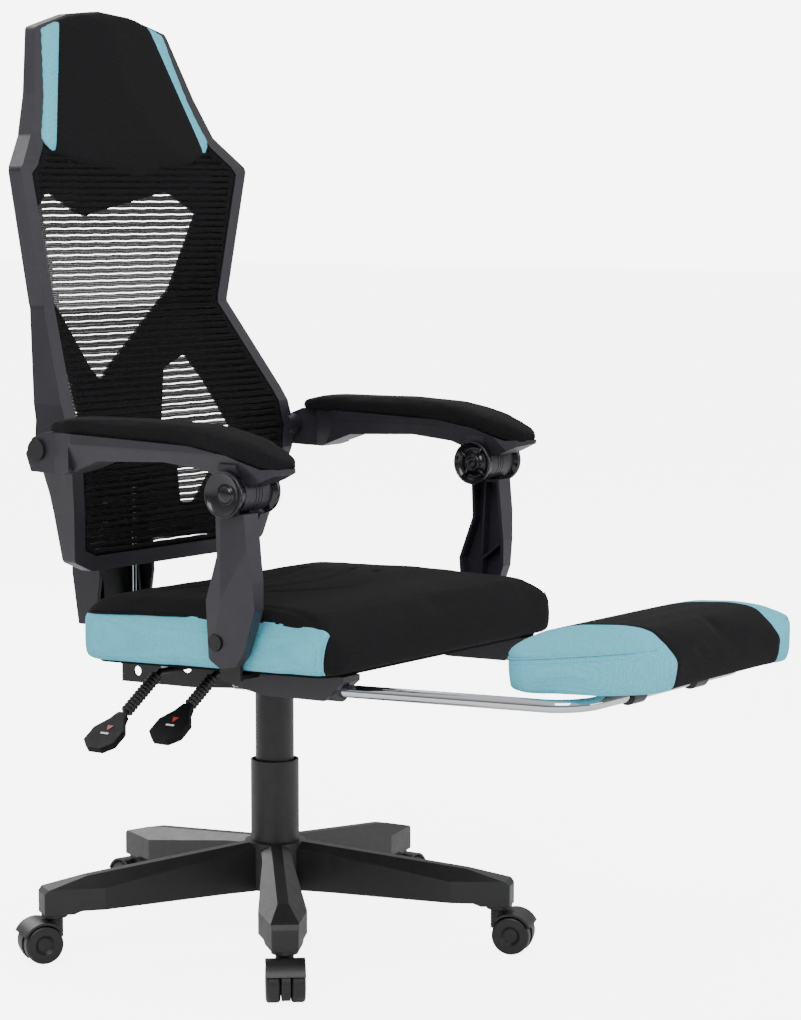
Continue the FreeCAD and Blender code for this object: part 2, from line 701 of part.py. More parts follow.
def arm_shell():
    """Moulded arm from the rear knuckle to the tip, with ears that straddle the barrel."""
    side = [(170, 637), (179, 659), (167, 680), (146, 688)] + rim_line()[1:]
    side += [(-240, 656), (-222, 651), (-196, 640), (-172, 636), (-120, 655), (-57, 661), (51, 656)]
    side += [(108, 636), (140, 636)]
    body = prism_x(side, *ARM_REACH).common(prism_z(arm_plan(), 600, 720, 6.0))
    for way in (-1, 1):
        corner = ARM_X + way * (RIM_HALF - 1)
        far = corner + way * 30
        wedge = [(corner, 676), (far, 676), (far, 600), (corner - way * 22, 600)]
        body = body.cut(prism_y(wedge, -300, 96))
    y, z = BARREL_PIVOT
    body = body.cut(rod_x(BARREL_R + BODY_GAP, *ARM_REACH, y, z))
    for low in (BARREL_INNER - BODY_GAP - EAR_THICK, BARREL_OUTER + BODY_GAP):
        high = low + EAR_THICK
        ear = rod_x(BARREL_R - 1, low, high, y, z)
        neck = box((low, high), (y - 14, y + 14), (z, z + BARREL_R + 12))
        body = body.fuse(ear).fuse(neck)
    body = body.cut(rod_x(BARREL_PIN_R, *ARM_REACH, y, z))
    slot_y, slot_z = ARM_REAR_PIVOT
    slot = rod_x(REAR_PIN_R + REAR_PIVOT_SLACK, *ARM_REACH, slot_y, slot_z)
    return body.cut(slot).removeSplitter()


def arm_pad():
    """Upholstered pad that sits on the shell's rim."""
    side = [(136, 691)] + rim_line()[1:]
    side += [(-232, 669), (-206, 682), (-175, 694), (-120, 706), (-30, 710), (103, 708)]
    side += [(126, 704), (136, 697)]
    outer = ARM_X + PAD_HALF
    inner = ARM_X - PAD_HALF
    plan = [(inner, 100), (inner, -172), (inner + 14, -220), (ARM_X, -236), (outer - 14, -220)]
    plan += [(outer, -164), (outer, 100), (outer - 8, 134), (inner + 8, 134)]
    return prism_x(side, *ARM_REACH).common(prism_z(plan, 640, 720, 10.0))


def arm_link():
    """Faceted link from the seat bracket up to the barrel, ribbed and open on its inner side."""
    side = [(-137, 604), (-139, 551), (-117, 494), (-122, 424), (-138, 411), (-158, 415), (-170, 430)]
    side += [(-190, 487), (-190, 522), (-182, 604)]
    body = prism_x(side, LINK_INNER, LINK_OUTER)
    ridge = vec(LINK_OUTER, LINK_RIDGE_Y, 498)
    for facet in (vec(1.0, 0.24, 0), vec(1.0, -0.03, 0), vec(1.0, -0.22, -0.12)):
        body = trim(body, ridge, facet.normalize())
    pocket = [(-141, 600), (-143, 551), (-122, 494), (-127, 462), (-168, 462), (-184, 487)]
    pocket += [(-185, 522), (-178, 600)]
    hollow = prism_x(pocket, LINK_INNER - 1, LINK_OUTER - LINK_FACE_THICK)
    for rib in ([(-160, 600), (-157, 600), (-150, 462), (-153, 462)],
                [(-184, 520), (-184, 516), (-153, 492), (-152, 496)]):
        hollow = hollow.cut(prism_x(rib, LINK_INNER + 2, LINK_OUTER))
    body = body.cut(hollow)
    y, z = BARREL_PIVOT
    barrel = rod_x(BARREL_R, BARREL_INNER, BARREL_OUTER, y, z)
    for groove in (0.3, 0.42, 0.54):
        at = BARREL_INNER + groove * (BARREL_OUTER - BARREL_INNER)
        cut = rod_x(BARREL_R + 1, at, at + 1.2, y, z).cut(rod_x(BARREL_R - 0.8, at, at + 1.2, y, z))
        barrel = barrel.cut(cut)
    link = body.fuse(barrel).cut(rod_x(BARREL_PIN_R + RUN_CLEARANCE, *ARM_REACH, y, z))
    y, z = LINK_PIVOT
    link = link.cut(rod_x(LINK_BOLT_R + RUN_CLEARANCE, *ARM_REACH, y, z))
    sink = LINK_OUTER - BOLT_HEAD_SINK
    recess = rod_x(BOLT_HEAD_R + BODY_GAP, sink - BODY_GAP, LINK_OUTER + 5, y, z)
    return link.cut(recess).removeSplitter()


def barrel_caps():
    """Dished outer cap and plain inner cap that close the barrel's ends."""
    y, z = BARREL_PIVOT
    outer_face = BARREL_OUTER + BODY_GAP + EAR_THICK
    inner_face = BARREL_INNER - BODY_GAP - EAR_THICK
    outer = rod_x(CAP_R, outer_face, outer_face + CAP_THICK, y, z)
    dish = Part.makeCone(12, CAP_R - 2, CAP_THICK - 2, vec(outer_face + 2, y, z), vec(1, 0, 0))
    outer = outer.cut(dish)
    inner = rod_x(CAP_R, inner_face - CAP_THICK, inner_face, y, z)
    hollow = rod_x(CAP_R - 3, inner_face - CAP_THICK, inner_face - 3, y, z)
    hollow = hollow.cut(rod_x(14, inner_face - CAP_THICK, inner_face, y, z))
    return Part.makeCompound([outer, inner.cut(hollow)])


def write_arms():
    write_sides("arm_shell", arm_shell())
    write_sides("arm_pad", arm_pad())
    write_sides("arm_link", arm_link())
    write_sides("barrel_caps", barrel_caps())
    y, z = BARREL_PIVOT
    low = BARREL_INNER - BODY_GAP - EAR_THICK
    high = BARREL_OUTER + BODY_GAP + EAR_THICK
    write_sides("barrel_pin", rod_x(BARREL_PIN_R, low, high, y, z))


# Footrest


def footrest_rails():
    """Chrome tube bent into a U: two rails and the cross bar."""
    start = vec(RAIL_X, RAIL_REAR_Y, rail_z(RAIL_REAR_Y))
    corner = vec(RAIL_X, CROSS_Y, rail_z(CROSS_Y))
    middle = vec(0, CROSS_Y, rail_z(CROSS_Y))
    into, bend, out = corner_arc(start, corner, middle, RAIL_BEND_R)
    edges = [Part.LineSegment(start, into).toShape(), Part.Arc(into, bend, out).toShape()]
    edges.append(Part.LineSegment(out, middle).toShape())
    path = Part.Wire(edges)
    circle = Part.Wire(Part.makeCircle(RAIL_R, start, into - start))
    half = path.makePipeShell([circle], True, True)
    return half.fuse(mirror_x(half)).removeSplitter()


def foot_under(y):
    """Underside of the footrest pad, which rises to the front."""
    return rail_z(CROSS_Y) + RAIL_R + COLLAR_WALL + HINGE_PLATE_THICK + (CROSS_Y - y) * FOOT_SLOPE


def footrest_pad():
    """Thick padded footrest with rounded ends."""
    top = foot_under(CROSS_Y) + FOOT_HEIGHT
    rear, front = FOOT_REAR_Y, FOOT_FRONT_Y
    side = [(rear - 6, foot_under(rear - 6)), (rear, top - 55), (rear - 8, top - 37), (rear - 49, top - 14)]
    side += [(rear - 90, top - 4), (CROSS_Y - 20, top + 1), (front + 42, top - 1), (front + 14, top - 12)]
    side += [(front, top - 38), (front, top - 58), (front + 4, foot_under(front + 4))]
    half = [(FOOT_HALF - 6, top - 95), (FOOT_HALF, top - 58), (FOOT_HALF - 6, top - 26)]
    half += [(FOOT_HALF - 50, top), (FOOT_HALF - 90, top + 4)]
    across_profile = mirrored(half)
    body = prism_x(side, -FOOT_HALF, FOOT_HALF, 10.0)
    plan = mirrored([(FOOT_HALF, rear), (FOOT_HALF, front)])
    body = body.common(prism_y(across_profile, front, rear))
    return body.common(prism_z(plan, top - 110, top + 20, FOOT_CORNER_R))


def footrest_hinge_plate():
    """Steel plate under the pad with two collars that turn on the cross bar."""
    side = [(CROSS_Y + 60, foot_under(CROSS_Y + 60)), (CROSS_Y - 65, foot_under(CROSS_Y - 65))]
    side += [(y, z - HINGE_PLATE_THICK) for y, z in reversed(side)]
    plate = prism_x(side, -130, 130)
    z = rail_z(CROSS_Y)
    for x in (-COLLAR_X, COLLAR_X):
        collar = rod_x(RAIL_R + COLLAR_WALL + 0.5, x - 14, x + 14, CROSS_Y, z)
        plate = plate.fuse(collar)
    return plate.cut(rod_x(RAIL_R + RUN_CLEARANCE, -150, 150, CROSS_Y, z)).removeSplitter()


def write_footrest():
    write("footrest_rails", footrest_rails())
    write("footrest_pad", footrest_pad())
    write("footrest_hinge_plate", footrest_hinge_plate())


# Levers, on the right side


def lever_points(lever):
    """Root, bend and outer end of a lever's rod."""
    y, z, reach = lever
    root = vec(-LEVER_ROOT_X, y, z)
    bend = vec(-LEVER_BEND_X, y, z)
    end = bend + vec(-reach, 0, -reach * LEVER_FALL)
    return root, bend, end


def lever_rod(lever):
    root, bend, end = lever_points(lever)
    rod = Part.makeCylinder(LEVER_ROD_R, root.distanceToPoint(bend), root, bend - root)
    rod = rod.fuse(Part.makeSphere(LEVER_ROD_R, bend))
    return rod.fuse(Part.makeCylinder(LEVER_ROD_R, bend.distanceToPoint(end), bend, end - bend))


def lever_bellows(lever):
    """Ribbed sleeve over the rod between the bend and the paddle."""
    bend, end = lever_points(lever)[1:]
    way = (end - bend).normalize()
    count = int((bend.distanceToPoint(end) - 16) / BELLOWS_PITCH)
    sleeve = None
    for i in range(count):
        at = bend + way * (8 + i * BELLOWS_PITCH)
        rise = Part.makeCone(BELLOWS_R - 2, BELLOWS_R, BELLOWS_PITCH / 2, at, way)
        crest = at + way * (BELLOWS_PITCH / 2)
        fall = Part.makeCone(BELLOWS_R, BELLOWS_R - 2, BELLOWS_PITCH / 2, crest, way)
        sleeve = rise.fuse(fall) if sleeve is None else sleeve.fuse(rise).fuse(fall)
    return sleeve.cut(Part.makeCylinder(LEVER_ROD_R, bend.distanceToPoint(end) + 5, bend, way))


def lever_paddle(lever):
    """Flat paddle that the hand pulls."""
    bend, end = lever_points(lever)[1:]
    way = (end - bend).normalize()
    side = [(-8, 7), (6, 12), (24, 25), (48, 25), (60, 12)]
    side += [(u, -w) for u, w in reversed(side)]
    wire = outline([vec(u, w, -5) for u, w in side], 4.0)
    paddle = Part.Face(wire).extrude(vec(0, 0, 9))
    paddle = paddle.cut(Part.makeCylinder(LEVER_ROD_R, 9, vec(-9, 0, 0), vec(1, 0, 0)))
    paddle.Placement = FreeCAD.Placement(end, FreeCAD.Rotation(vec(1, 0, 0), way))
    return paddle


def write_levers():
    for name, lever in (("lift", LIFT_LEVER), ("recline", RECLINE_LEVER)):
        write(name + "_lever_rod", lever_rod(lever))
        write(name + "_lever_bellows", lever_bellows(lever))
        write(name + "_lever_paddle", lever_paddle(lever))


os.makedirs("parts", exist_ok=True)
write_base()
write_gas_lift()
write_seat()
write_back()
write_arms()
write_footrest()
write_levers()
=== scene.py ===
"""Looks of a reclining gaming chair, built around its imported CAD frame.

The chair faces -Y and its right side, with the levers, is -X. Sizes are in metres.
"""

import json
import logging
import math
from dataclasses import dataclass
from enum import Enum
from typing import Callable, Sequence

import bmesh
import bpy
from mathutils import Matrix, Vector
from mathutils.bvhtree import BVHTree
from mathutils.kdtree import KDTree

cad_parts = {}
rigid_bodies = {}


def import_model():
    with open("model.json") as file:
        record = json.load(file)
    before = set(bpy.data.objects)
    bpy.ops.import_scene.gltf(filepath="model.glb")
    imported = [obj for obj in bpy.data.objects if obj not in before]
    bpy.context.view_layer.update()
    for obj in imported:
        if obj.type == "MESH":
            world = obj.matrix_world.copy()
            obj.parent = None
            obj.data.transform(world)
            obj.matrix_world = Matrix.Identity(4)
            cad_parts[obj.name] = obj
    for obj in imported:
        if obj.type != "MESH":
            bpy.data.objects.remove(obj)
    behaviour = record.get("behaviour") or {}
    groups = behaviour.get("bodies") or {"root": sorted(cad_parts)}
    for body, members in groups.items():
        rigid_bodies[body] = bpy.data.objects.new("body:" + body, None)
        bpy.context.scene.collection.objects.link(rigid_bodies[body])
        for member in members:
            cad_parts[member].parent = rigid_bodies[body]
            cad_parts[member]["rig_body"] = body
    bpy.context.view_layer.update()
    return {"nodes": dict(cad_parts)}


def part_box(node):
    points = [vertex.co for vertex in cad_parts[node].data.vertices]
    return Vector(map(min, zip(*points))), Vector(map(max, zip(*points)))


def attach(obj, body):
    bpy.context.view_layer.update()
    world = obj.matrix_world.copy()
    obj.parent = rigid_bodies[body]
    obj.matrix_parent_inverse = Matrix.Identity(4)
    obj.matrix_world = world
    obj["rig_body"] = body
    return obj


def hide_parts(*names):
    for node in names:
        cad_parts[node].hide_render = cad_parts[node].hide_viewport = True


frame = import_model()

LOG = logging.getLogger("gaming_chair")
MM = 0.001
SIDES = {"left": 1.0, "right": -1.0}
Shape = bmesh.types.BMesh
Piece = bpy.types.Object
Tree = bpy.types.NodeTree
Node = bpy.types.Node
Socket = bpy.types.NodeSocket
Points = Sequence[Vector]
Lines = Sequence[Points]
MERGE_MM = 0.02
SNAP_MM = 0.4
OVERHEAD = 0.6


class Body(Enum):
    """The CAD bodies that the large soft pieces ride on."""

    SEAT = "seat"
    BACK = "back"
    FOOTREST = "footrest"


def linear(hex_colour: str) -> tuple[float, float, float, float]:
    """Turn an sRGB hex colour into linear values.

    Args:
        hex_colour: The colour as "#rrggbb".

    Returns:
        Linear red, green, blue and an alpha of 1.
    """
    values = [int(hex_colour[i:i + 2], 16) / 255.0 for i in (1, 3, 5)]
    parts = [v / 12.92 if v <= 0.04045 else ((v + 0.055) / 1.055) ** 2.4 for v in values]
    return parts[0], parts[1], parts[2], 1.0


def add_node(tree: Tree, kind: str, settings: dict | None = None,
             links: dict | None = None, **values: object) -> Node:
    """Add one shader node with its settings, socket values and links.

    Args:
        tree: The material's node tree.
        kind: The node's type name.
        settings: Properties of the node itself.
        links: Input socket name or index to the output socket that feeds it.
        values: Input socket name, with underscores for spaces, to its value.

    Returns:
        The new node.
    """
    node = tree.nodes.new(kind)
    for name, value in (settings or {}).items():
        setattr(node, name, value)
    for name, value in values.items():
        node.inputs[name.replace("_", " ")].default_value = value
    for name, source in (links or {}).items():
        tree.links.new(source, node.inputs[name])
    return node


@dataclass(frozen=True)
class Finish:
    """A surface finish. Each kind of material adds its own pattern to the shader."""

    name: str
    slot: str
    colour: str
    roughness: float = 0.5

    def material(self) -> bpy.types.Material:
        """Make the material once, and return it.

        Returns:
            The Blender material of this finish.
        """
        found = bpy.data.materials.get(self.name)
        if found:
            return found
        made = bpy.data.materials.new(self.name)
        made.use_nodes = True
        made.diffuse_color = linear(self.colour)
        tree = made.node_tree
        shader = tree.nodes["Principled BSDF"]
        shader.inputs["Base Color"].default_value = linear(self.colour)
        shader.inputs["Roughness"].default_value = self.roughness
        self.dress(tree, shader)
        return made

    def dress(self, tree: Tree, shader: Node) -> None:
        """Add the pattern nodes of this kind of material.

        Args:
            tree: Node tree.
            shader: Principled shader.
        """
        raise NotImplementedError


def vary_colour(tree: Tree, shader: Node, mask: Socket,
                low: str, high: str) -> None:
    """Drive the base colour between two colours by a mask.

    Args:
        tree: The material's node tree.
        shader: Its Principled shader.
        mask: The factor that mixes the colours.
        low: Hex colour where the mask is 0.
        high: Hex colour where the mask is 1.
    """
    mix = add_node(tree, "ShaderNodeMix", {"data_type": "RGBA"}, {0: mask})
    mix.inputs[6].default_value = linear(low)
    mix.inputs[7].default_value = linear(high)
    tree.links.new(mix.outputs[2], shader.inputs["Base Color"])


def object_noise(tree: Tree, size_mm: float, detail: float = 2.0) -> Socket:
    """Noise whose blobs are about the given size.

    Args:
        tree: The material's node tree.
        size_mm: Size of a blob in millimetres.
        detail: Octaves of finer noise.

    Returns:
        The noise's factor socket.
    """
    place = add_node(tree, "ShaderNodeTexCoord").outputs["Object"]
    noise = add_node(tree, "ShaderNodeTexNoise", links={"Vector": place}, Scale=1.0 / (size_mm * MM),
                     Detail=detail, Roughness=0.6)
    return noise.outputs[0]


def bump(tree: Tree, shader: Node, height: Socket,
         depth_mm: float, strength: float = 1.0) -> None:
    """Feed a height pattern to the shader's normal.

    Args:
        tree: The material's node tree.
        shader: Its Principled shader.
        height: The height from 0 to 1.
        depth_mm: Depth of the relief in millimetres.
        strength: Share of the relief that shows.
    """
    node = add_node(tree, "ShaderNodeBump", links={"Height": height}, Distance=depth_mm * MM,
                    Strength=strength)
    tree.links.new(node.outputs[0], shader.inputs["Normal"])


@dataclass(frozen=True)
class MouldedPlastic(Finish):
    """Injection-moulded plastic from a spark-eroded mould: a fine matt grain with soft gloss."""

    worn: str = "#55545a"
    gloss: float = 0.5
    grain_mm: float = 0.9
    depth_mm: float = 0.05
    drift_mm: float = 60.0
    patch_mm: float = 14.0

    def dress(self, tree: Tree, shader: Node) -> None:
        """Grain relief, slow colour drift and patches that are slightly shinier.

        Args:
            tree: Node tree.
            shader: Principled shader.
        """
        grain = object_noise(tree, self.grain_mm, 3.0)
        drift = object_noise(tree, self.drift_mm)
        vary_colour(tree, shader, drift, self.colour, self.worn)
        patches = object_noise(tree, self.patch_mm)
        spread = add_node(tree, "ShaderNodeMapRange", links={"Value": patches},
                          To_Min=self.roughness - 0.07, To_Max=self.roughness + 0.08)
        tree.links.new(spread.outputs[0], shader.inputs["Roughness"])
        shader.inputs["IOR"].default_value = 1.49
        shader.inputs["Specular IOR Level"].default_value = self.gloss
        bump(tree, shader, grain, self.depth_mm)


@dataclass(frozen=True)
class SpacerFabric(Finish):
    """Knitted 3D spacer fabric: a dense field of small cells, with painted shade in their pits and a soft
    sheen.
    """

    pit_shade: str = "#101012"
    cell_mm: float = 2.2
    depth_mm: float = 0.5
    sheen: float = 0.35
    contrast: float = 0.9
    ground: float = 0.35
    melange_mm: float = 3.0

    def dress(self, tree: Tree, shader: Node) -> None:
        """Cells as relief, with painted shade that darkens their pits, and a little melange and lint.

        The real cells are about 1.2 mm. They are drawn larger so that they show.

        Args:
            tree: Node tree.
            shader: Principled shader.
        """
        place = add_node(tree, "ShaderNodeTexCoord").outputs["Object"]
        cells = add_node(tree, "ShaderNodeTexVoronoi", {"feature": "F1"}, {"Vector": place},
                         Scale=1.0 / (self.cell_mm * MM), Randomness=0.35)
        pits = add_node(tree, "ShaderNodeMapRange", {"interpolation_type": "SMOOTHSTEP"},
                        {"Value": cells.outputs["Distance"]}, From_Min=0.05, From_Max=0.55)
        melange = object_noise(tree, self.melange_mm, 3.0)
        pit_shade_and_melange = add_node(tree, "ShaderNodeMath", {"operation": "MULTIPLY"},
                         {0: pits.outputs[0], 1: melange})
        lift = add_node(tree, "ShaderNodeMath", {"operation": "MULTIPLY_ADD"}, {0: pit_shade_and_melange.outputs[0]})
        lift.inputs[1].default_value = self.contrast
        lift.inputs[2].default_value = self.ground
        # Painted shade: the pit colour darkens the low centres of the cells, broken up by the melange.
        vary_colour(tree, shader, lift.outputs[0], self.pit_shade, self.colour)
        shader.inputs["Sheen Weight"].default_value = self.sheen
        shader.inputs["Sheen Roughness"].default_value = 0.45
        shader.inputs["Sheen Tint"].default_value = linear(self.colour)
        shader.inputs["Specular IOR Level"].default_value = 0.2
        bump(tree, shader, pits.outputs[0], self.depth_mm, 0.8)


@dataclass(frozen=True)
class PlatedMetal(Finish):
    """Chrome or zinc plate: a mirror or satin metal with faint drawing marks and haze."""

    mark_mm: float = 6.0

    def dress(self, tree: Tree, shader: Node) -> None:
        """Hazy patches in the roughness and the faintest waviness.

        Args:
            tree: Node tree.
            shader: Principled shader.
        """
        shader.inputs["Metallic"].default_value = 1.0
        clouds = object_noise(tree, self.mark_mm, 4.0)
        haze = add_node(tree, "ShaderNodeMapRange", links={"Value": clouds},
                        To_Min=self.roughness * 0.6, To_Max=self.roughness * 1.5)
        tree.links.new(haze.outputs[0], shader.inputs["Roughness"])
        bump(tree, shader, object_noise(tree, self.mark_mm * 2), 0.02, 0.5)


@dataclass(frozen=True)
class StretchedNet(Finish):
    """Elastic knitted mesh: dense bands full of pinholes, so that light passes softly."""

    bar: str = "#34343a"
    pinhole_mm: float = 2.4
    cover: float = 0.62

    def dress(self, tree: Tree, shader: Node) -> None:
        """Pinhole relief in rows, painted shade that darkens the pinholes, and an even share of
        see-through.

        The real pinholes are about 0.8 mm apart. They are drawn larger so that they show.

        Args:
            tree: Node tree.
            shader: Principled shader.
        """
        place = add_node(tree, "ShaderNodeTexCoord").outputs["Object"]
        size = 1.0 / (self.pinhole_mm * MM)
        stretch = add_node(tree, "ShaderNodeMapping", links={"Vector": place}, Scale=(size, size, size))
        holes = add_node(tree, "ShaderNodeTexVoronoi", {"feature": "F1"}, {"Vector": stretch.outputs[0]},
                         Scale=1.0, Randomness=0.15)
        thread = add_node(tree, "ShaderNodeMapRange", links={"Value": holes.outputs["Distance"]},
                          From_Min=0.15, From_Max=0.6)
        # Painted shade: the pinholes take the darker colour, and the threads between them the lighter bar
        # colour.
        vary_colour(tree, shader, thread.outputs[0], self.colour, self.bar)
        alpha = add_node(tree, "ShaderNodeMapRange", links={"Value": holes.outputs["Distance"]},
                         From_Min=0.1, From_Max=0.5, To_Min=self.cover - 0.25, To_Max=self.cover + 0.25)
        tree.links.new(alpha.outputs[0], shader.inputs["Alpha"])
        shader.inputs["Specular IOR Level"].default_value = 0.15
        bump(tree, shader, thread.outputs[0], 0.3, 0.6)


# Glass-filled nylon, moulded: near black, with a low broad shine on the facets.
NYLON = MouldedPlastic("moulded_nylon_black", "base_nylon", "#0f0f10", 0.42, worn="#171719")
# Polypropylene from a spark-eroded mould: charcoal with a faint violet cast.
FRAME = MouldedPlastic("moulded_polypropylene", "frame_plastic", "#1e1c23", 0.42, worn="#29272f")
# Polished ABS: dark and mirror-like.
GLOSS = MouldedPlastic("polished_abs", "gloss_plastic", "#121216", 0.16, worn="#1a1a20", depth_mm=0.004)
# Powder coat on steel: even black with a fine orange peel.
COAT = MouldedPlastic("powder_coated_steel", "painted_steel", "#0d0d0e", 0.45, worn="#151517",
                      depth_mm=0.03)
# Moulded rubber: deep black and satin.
RUBBER = MouldedPlastic("moulded_rubber", "bellows_rubber", "#0b0b0c", 0.35, worn="#131315",
                        depth_mm=0.01)
# Matt ABS of the lever paddles: black with next to no shine.
PADDLE = MouldedPlastic("moulded_lever_plastic", "gloss_plastic", "#070708", 0.6, worn="#0b0b0c",
                        depth_mm=0.01, gloss=0.15)
# Pad-printed inks: flat, slightly uneven colour.
RED_INK = MouldedPlastic("pad_printed_ink_red", "gloss_plastic", "#b5302a", 0.5, worn="#9c2823",
                         depth_mm=0.01)
WHITE_INK = MouldedPlastic("pad_printed_ink_white", "gloss_plastic", "#d9d9d6", 0.5, worn="#c6c6c2",
                           depth_mm=0.01)
# Polyester spacer fabric, knitted: matt, with small cells whose pits are darkened by painted shade.
BLACK = SpacerFabric("spacer_fabric_black", "fabric_black", "#141416", 0.95, pit_shade="#08080a")
TEAL = SpacerFabric("spacer_fabric_teal", "fabric_teal", "#6cc4d8", 0.95, pit_shade="#4a9fb4", sheen=0.2)
# Polyester sewing thread: a shade darker than the teal that it lies on.
TEAL_THREAD = SpacerFabric("polyester_thread_teal", "fabric_teal", "#4d9db0", 0.8, pit_shade="#3c8799",
                           cell_mm=0.8, sheen=0.1)
# Polypropylene non-woven: dull black lining of the seat board; the same finish paints the shade strip
# behind the back net's edge.
LINING_AND_SHADE_STRIP = SpacerFabric("non_woven_lining_and_painted_shade", "fabric_black", "#141416", 0.95, pit_shade="#09090a", cell_mm=1.4,
                      sheen=0.1)
# Elastic polyester mesh, knitted: black bands that let some light through, with painted shade in the
# pinholes.
NET = StretchedNet("slotted_back_mesh", "mesh_black", "#040405", 0.85, bar="#101012", cover=0.72)
# Chrome plate, polished: a bright mirror. Zinc plate: a grey satin.
CHROME = PlatedMetal("chrome_plated_steel", "chrome", "#c9ccd0", 0.06)
ZINC = PlatedMetal("zinc_plated_steel", "zinc_steel", "#a9adb3", 0.32)


def finished(name: str, mesh: Shape, finishes: Sequence[Finish], body: str,
             smooth: bool = True) -> Piece:
    """Turn a bmesh into a piece that rides on a body.

    Args:
        name: The piece's name.
        mesh: Its shape, which is freed.
        finishes: Its finishes.
        body: The CAD body that it rides on.
        smooth: Whether its faces are smooth shaded.

    Returns:
        The new object.
    """
    data = bpy.data.meshes.new(name)
    mesh.to_mesh(data)
    mesh.free()
    for polygon in data.polygons:
        polygon.use_smooth = smooth
    piece = bpy.data.objects.new(name, data)
    bpy.context.scene.collection.objects.link(piece)
    for finish in finishes:
        data.materials.append(finish.material())
    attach(piece, body)
    LOG.info("%s: %d faces on %s", name, len(data.polygons), body)
    return piece


def body_of_node(node: str) -> str:
    """Body that a CAD node belongs to."""
    return frame["nodes"][node]["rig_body"]


@dataclass
class RoundedPart:
    """A CAD node carried over with its moulded edges rounded."""

    node: str
    finish: Finish
    edge_mm: float = 1.0
    segments: int = 2
    sharp_deg: float = 18.0
    facet_deg: float = 12.0

    def build(self) -> Piece:
        """Copy the node's mesh, merge it, round its edges and let it stand for the node.

        Returns:
            The new piece.
        """
        shape = bmesh.new()
        shape.from_mesh(frame["nodes"][self.node].data)
        bmesh.ops.remove_doubles(shape, verts=shape.verts, dist=MERGE_MM * MM)
        bmesh.ops.dissolve_limit(shape, angle_limit=math.radians(1.0), verts=shape.verts,
                                 edges=shape.edges)
        piece = finished(self.node + "_moulding", shape, [self.finish], body_of_node(self.node))
        piece.data.set_sharp_from_angle(angle=math.radians(self.facet_deg))
        round_edges(piece, self.edge_mm, self.segments, self.sharp_deg)
        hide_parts(self.node)
        return piece


def round_edges(piece: Piece, width_mm: float, segments: int, sharp_deg: float) -> None:
    """Bevel a piece's sharp edges, and weight its normals so that flats stay flat.

    Args:
        piece: The piece.
        width_mm: Width of the bevel.
        segments: Segments across it.
        sharp_deg: Edges that turn by more than this are rounded.
    """
    bevel = piece.modifiers.new("edges", "BEVEL")
    bevel.width = width_mm * MM
    bevel.segments = segments
    bevel.limit_method = "ANGLE"
    bevel.angle_limit = math.radians(sharp_deg)
    bevel.harden_normals = True
    bevel.use_clamp_overlap = True


def mesh_of(shape: Shape, name: str) -> bpy.types.Mesh:
    """Turn a bmesh into a mesh and free it.

    Args:
        shape: The bmesh.
        name: The mesh's name.

    Returns:
        The new mesh.
    """
    data = bpy.data.meshes.new(name)
    shape.to_mesh(data)
    shape.free()
    return data


def helper(data: bpy.types.ID) -> Piece:
    """Link a mesh or curve to the scene as a helper object."""
    work = bpy.data.objects.new("helper", data)
    bpy.context.scene.collection.objects.link(work)
    return work


def applied(work: Piece) -> Shape:
    """Shape of a helper with its modifiers applied; the helper is removed.

    Args:
        work: The helper object.

    Returns:
        The shape.
    """
    graph = bpy.context.evaluated_depsgraph_get()
    done = bpy.data.meshes.new_from_object(work.evaluated_get(graph))
    bpy.data.objects.remove(work)
    shape = bmesh.new()
    shape.from_mesh(done)
    bpy.data.meshes.remove(done)
    return shape


def node_copy(node: str) -> Shape:
    """Merged copy of a CAD node's mesh.

    Args:
        node: The node's name.

    Returns:
        Its shape, without loose triangles.
    """
    shape = bmesh.new()
    shape.from_mesh(frame["nodes"][node].data)
    bmesh.ops.remove_doubles(shape, verts=shape.verts, dist=MERGE_MM * MM)
    return shape


def ease(value: float, low: float, high: float) -> float:
    """Smooth step from 0 at low to 1 at high."""
    share = min(max((value - low) / (high - low), 0.0), 1.0)
    return share * share * (3.0 - 2.0 * share)


def smooth(shape: Shape) -> None:
    """Move every point half of the way to its neighbours' middle."""
    bmesh.ops.smooth_vert(shape, verts=shape.verts, factor=0.5, use_axis_x=True, use_axis_y=True,
                          use_axis_z=True)


def extent(shape: Shape) -> tuple[Vector, Vector]:
    """Lowest and highest corners of a shape."""
    places = [vert.co for vert in shape.verts]
    return Vector(map(min, zip(*places))), Vector(map(max, zip(*places)))


def fit(shape: Shape, room: tuple[Vector, Vector]) -> None:
    """Stretch a shape the little that makes it fill its room.

    Args:
        shape: The shape.
        room: The room's lowest and highest corners.
    """
    low, high = extent(shape)
    for vert in shape.verts:
        for axis in range(3):
            share = (vert.co[axis] - low[axis]) / (high[axis] - low[axis])
            vert.co[axis] = room[0][axis] + share * (room[1][axis] - room[0][axis])


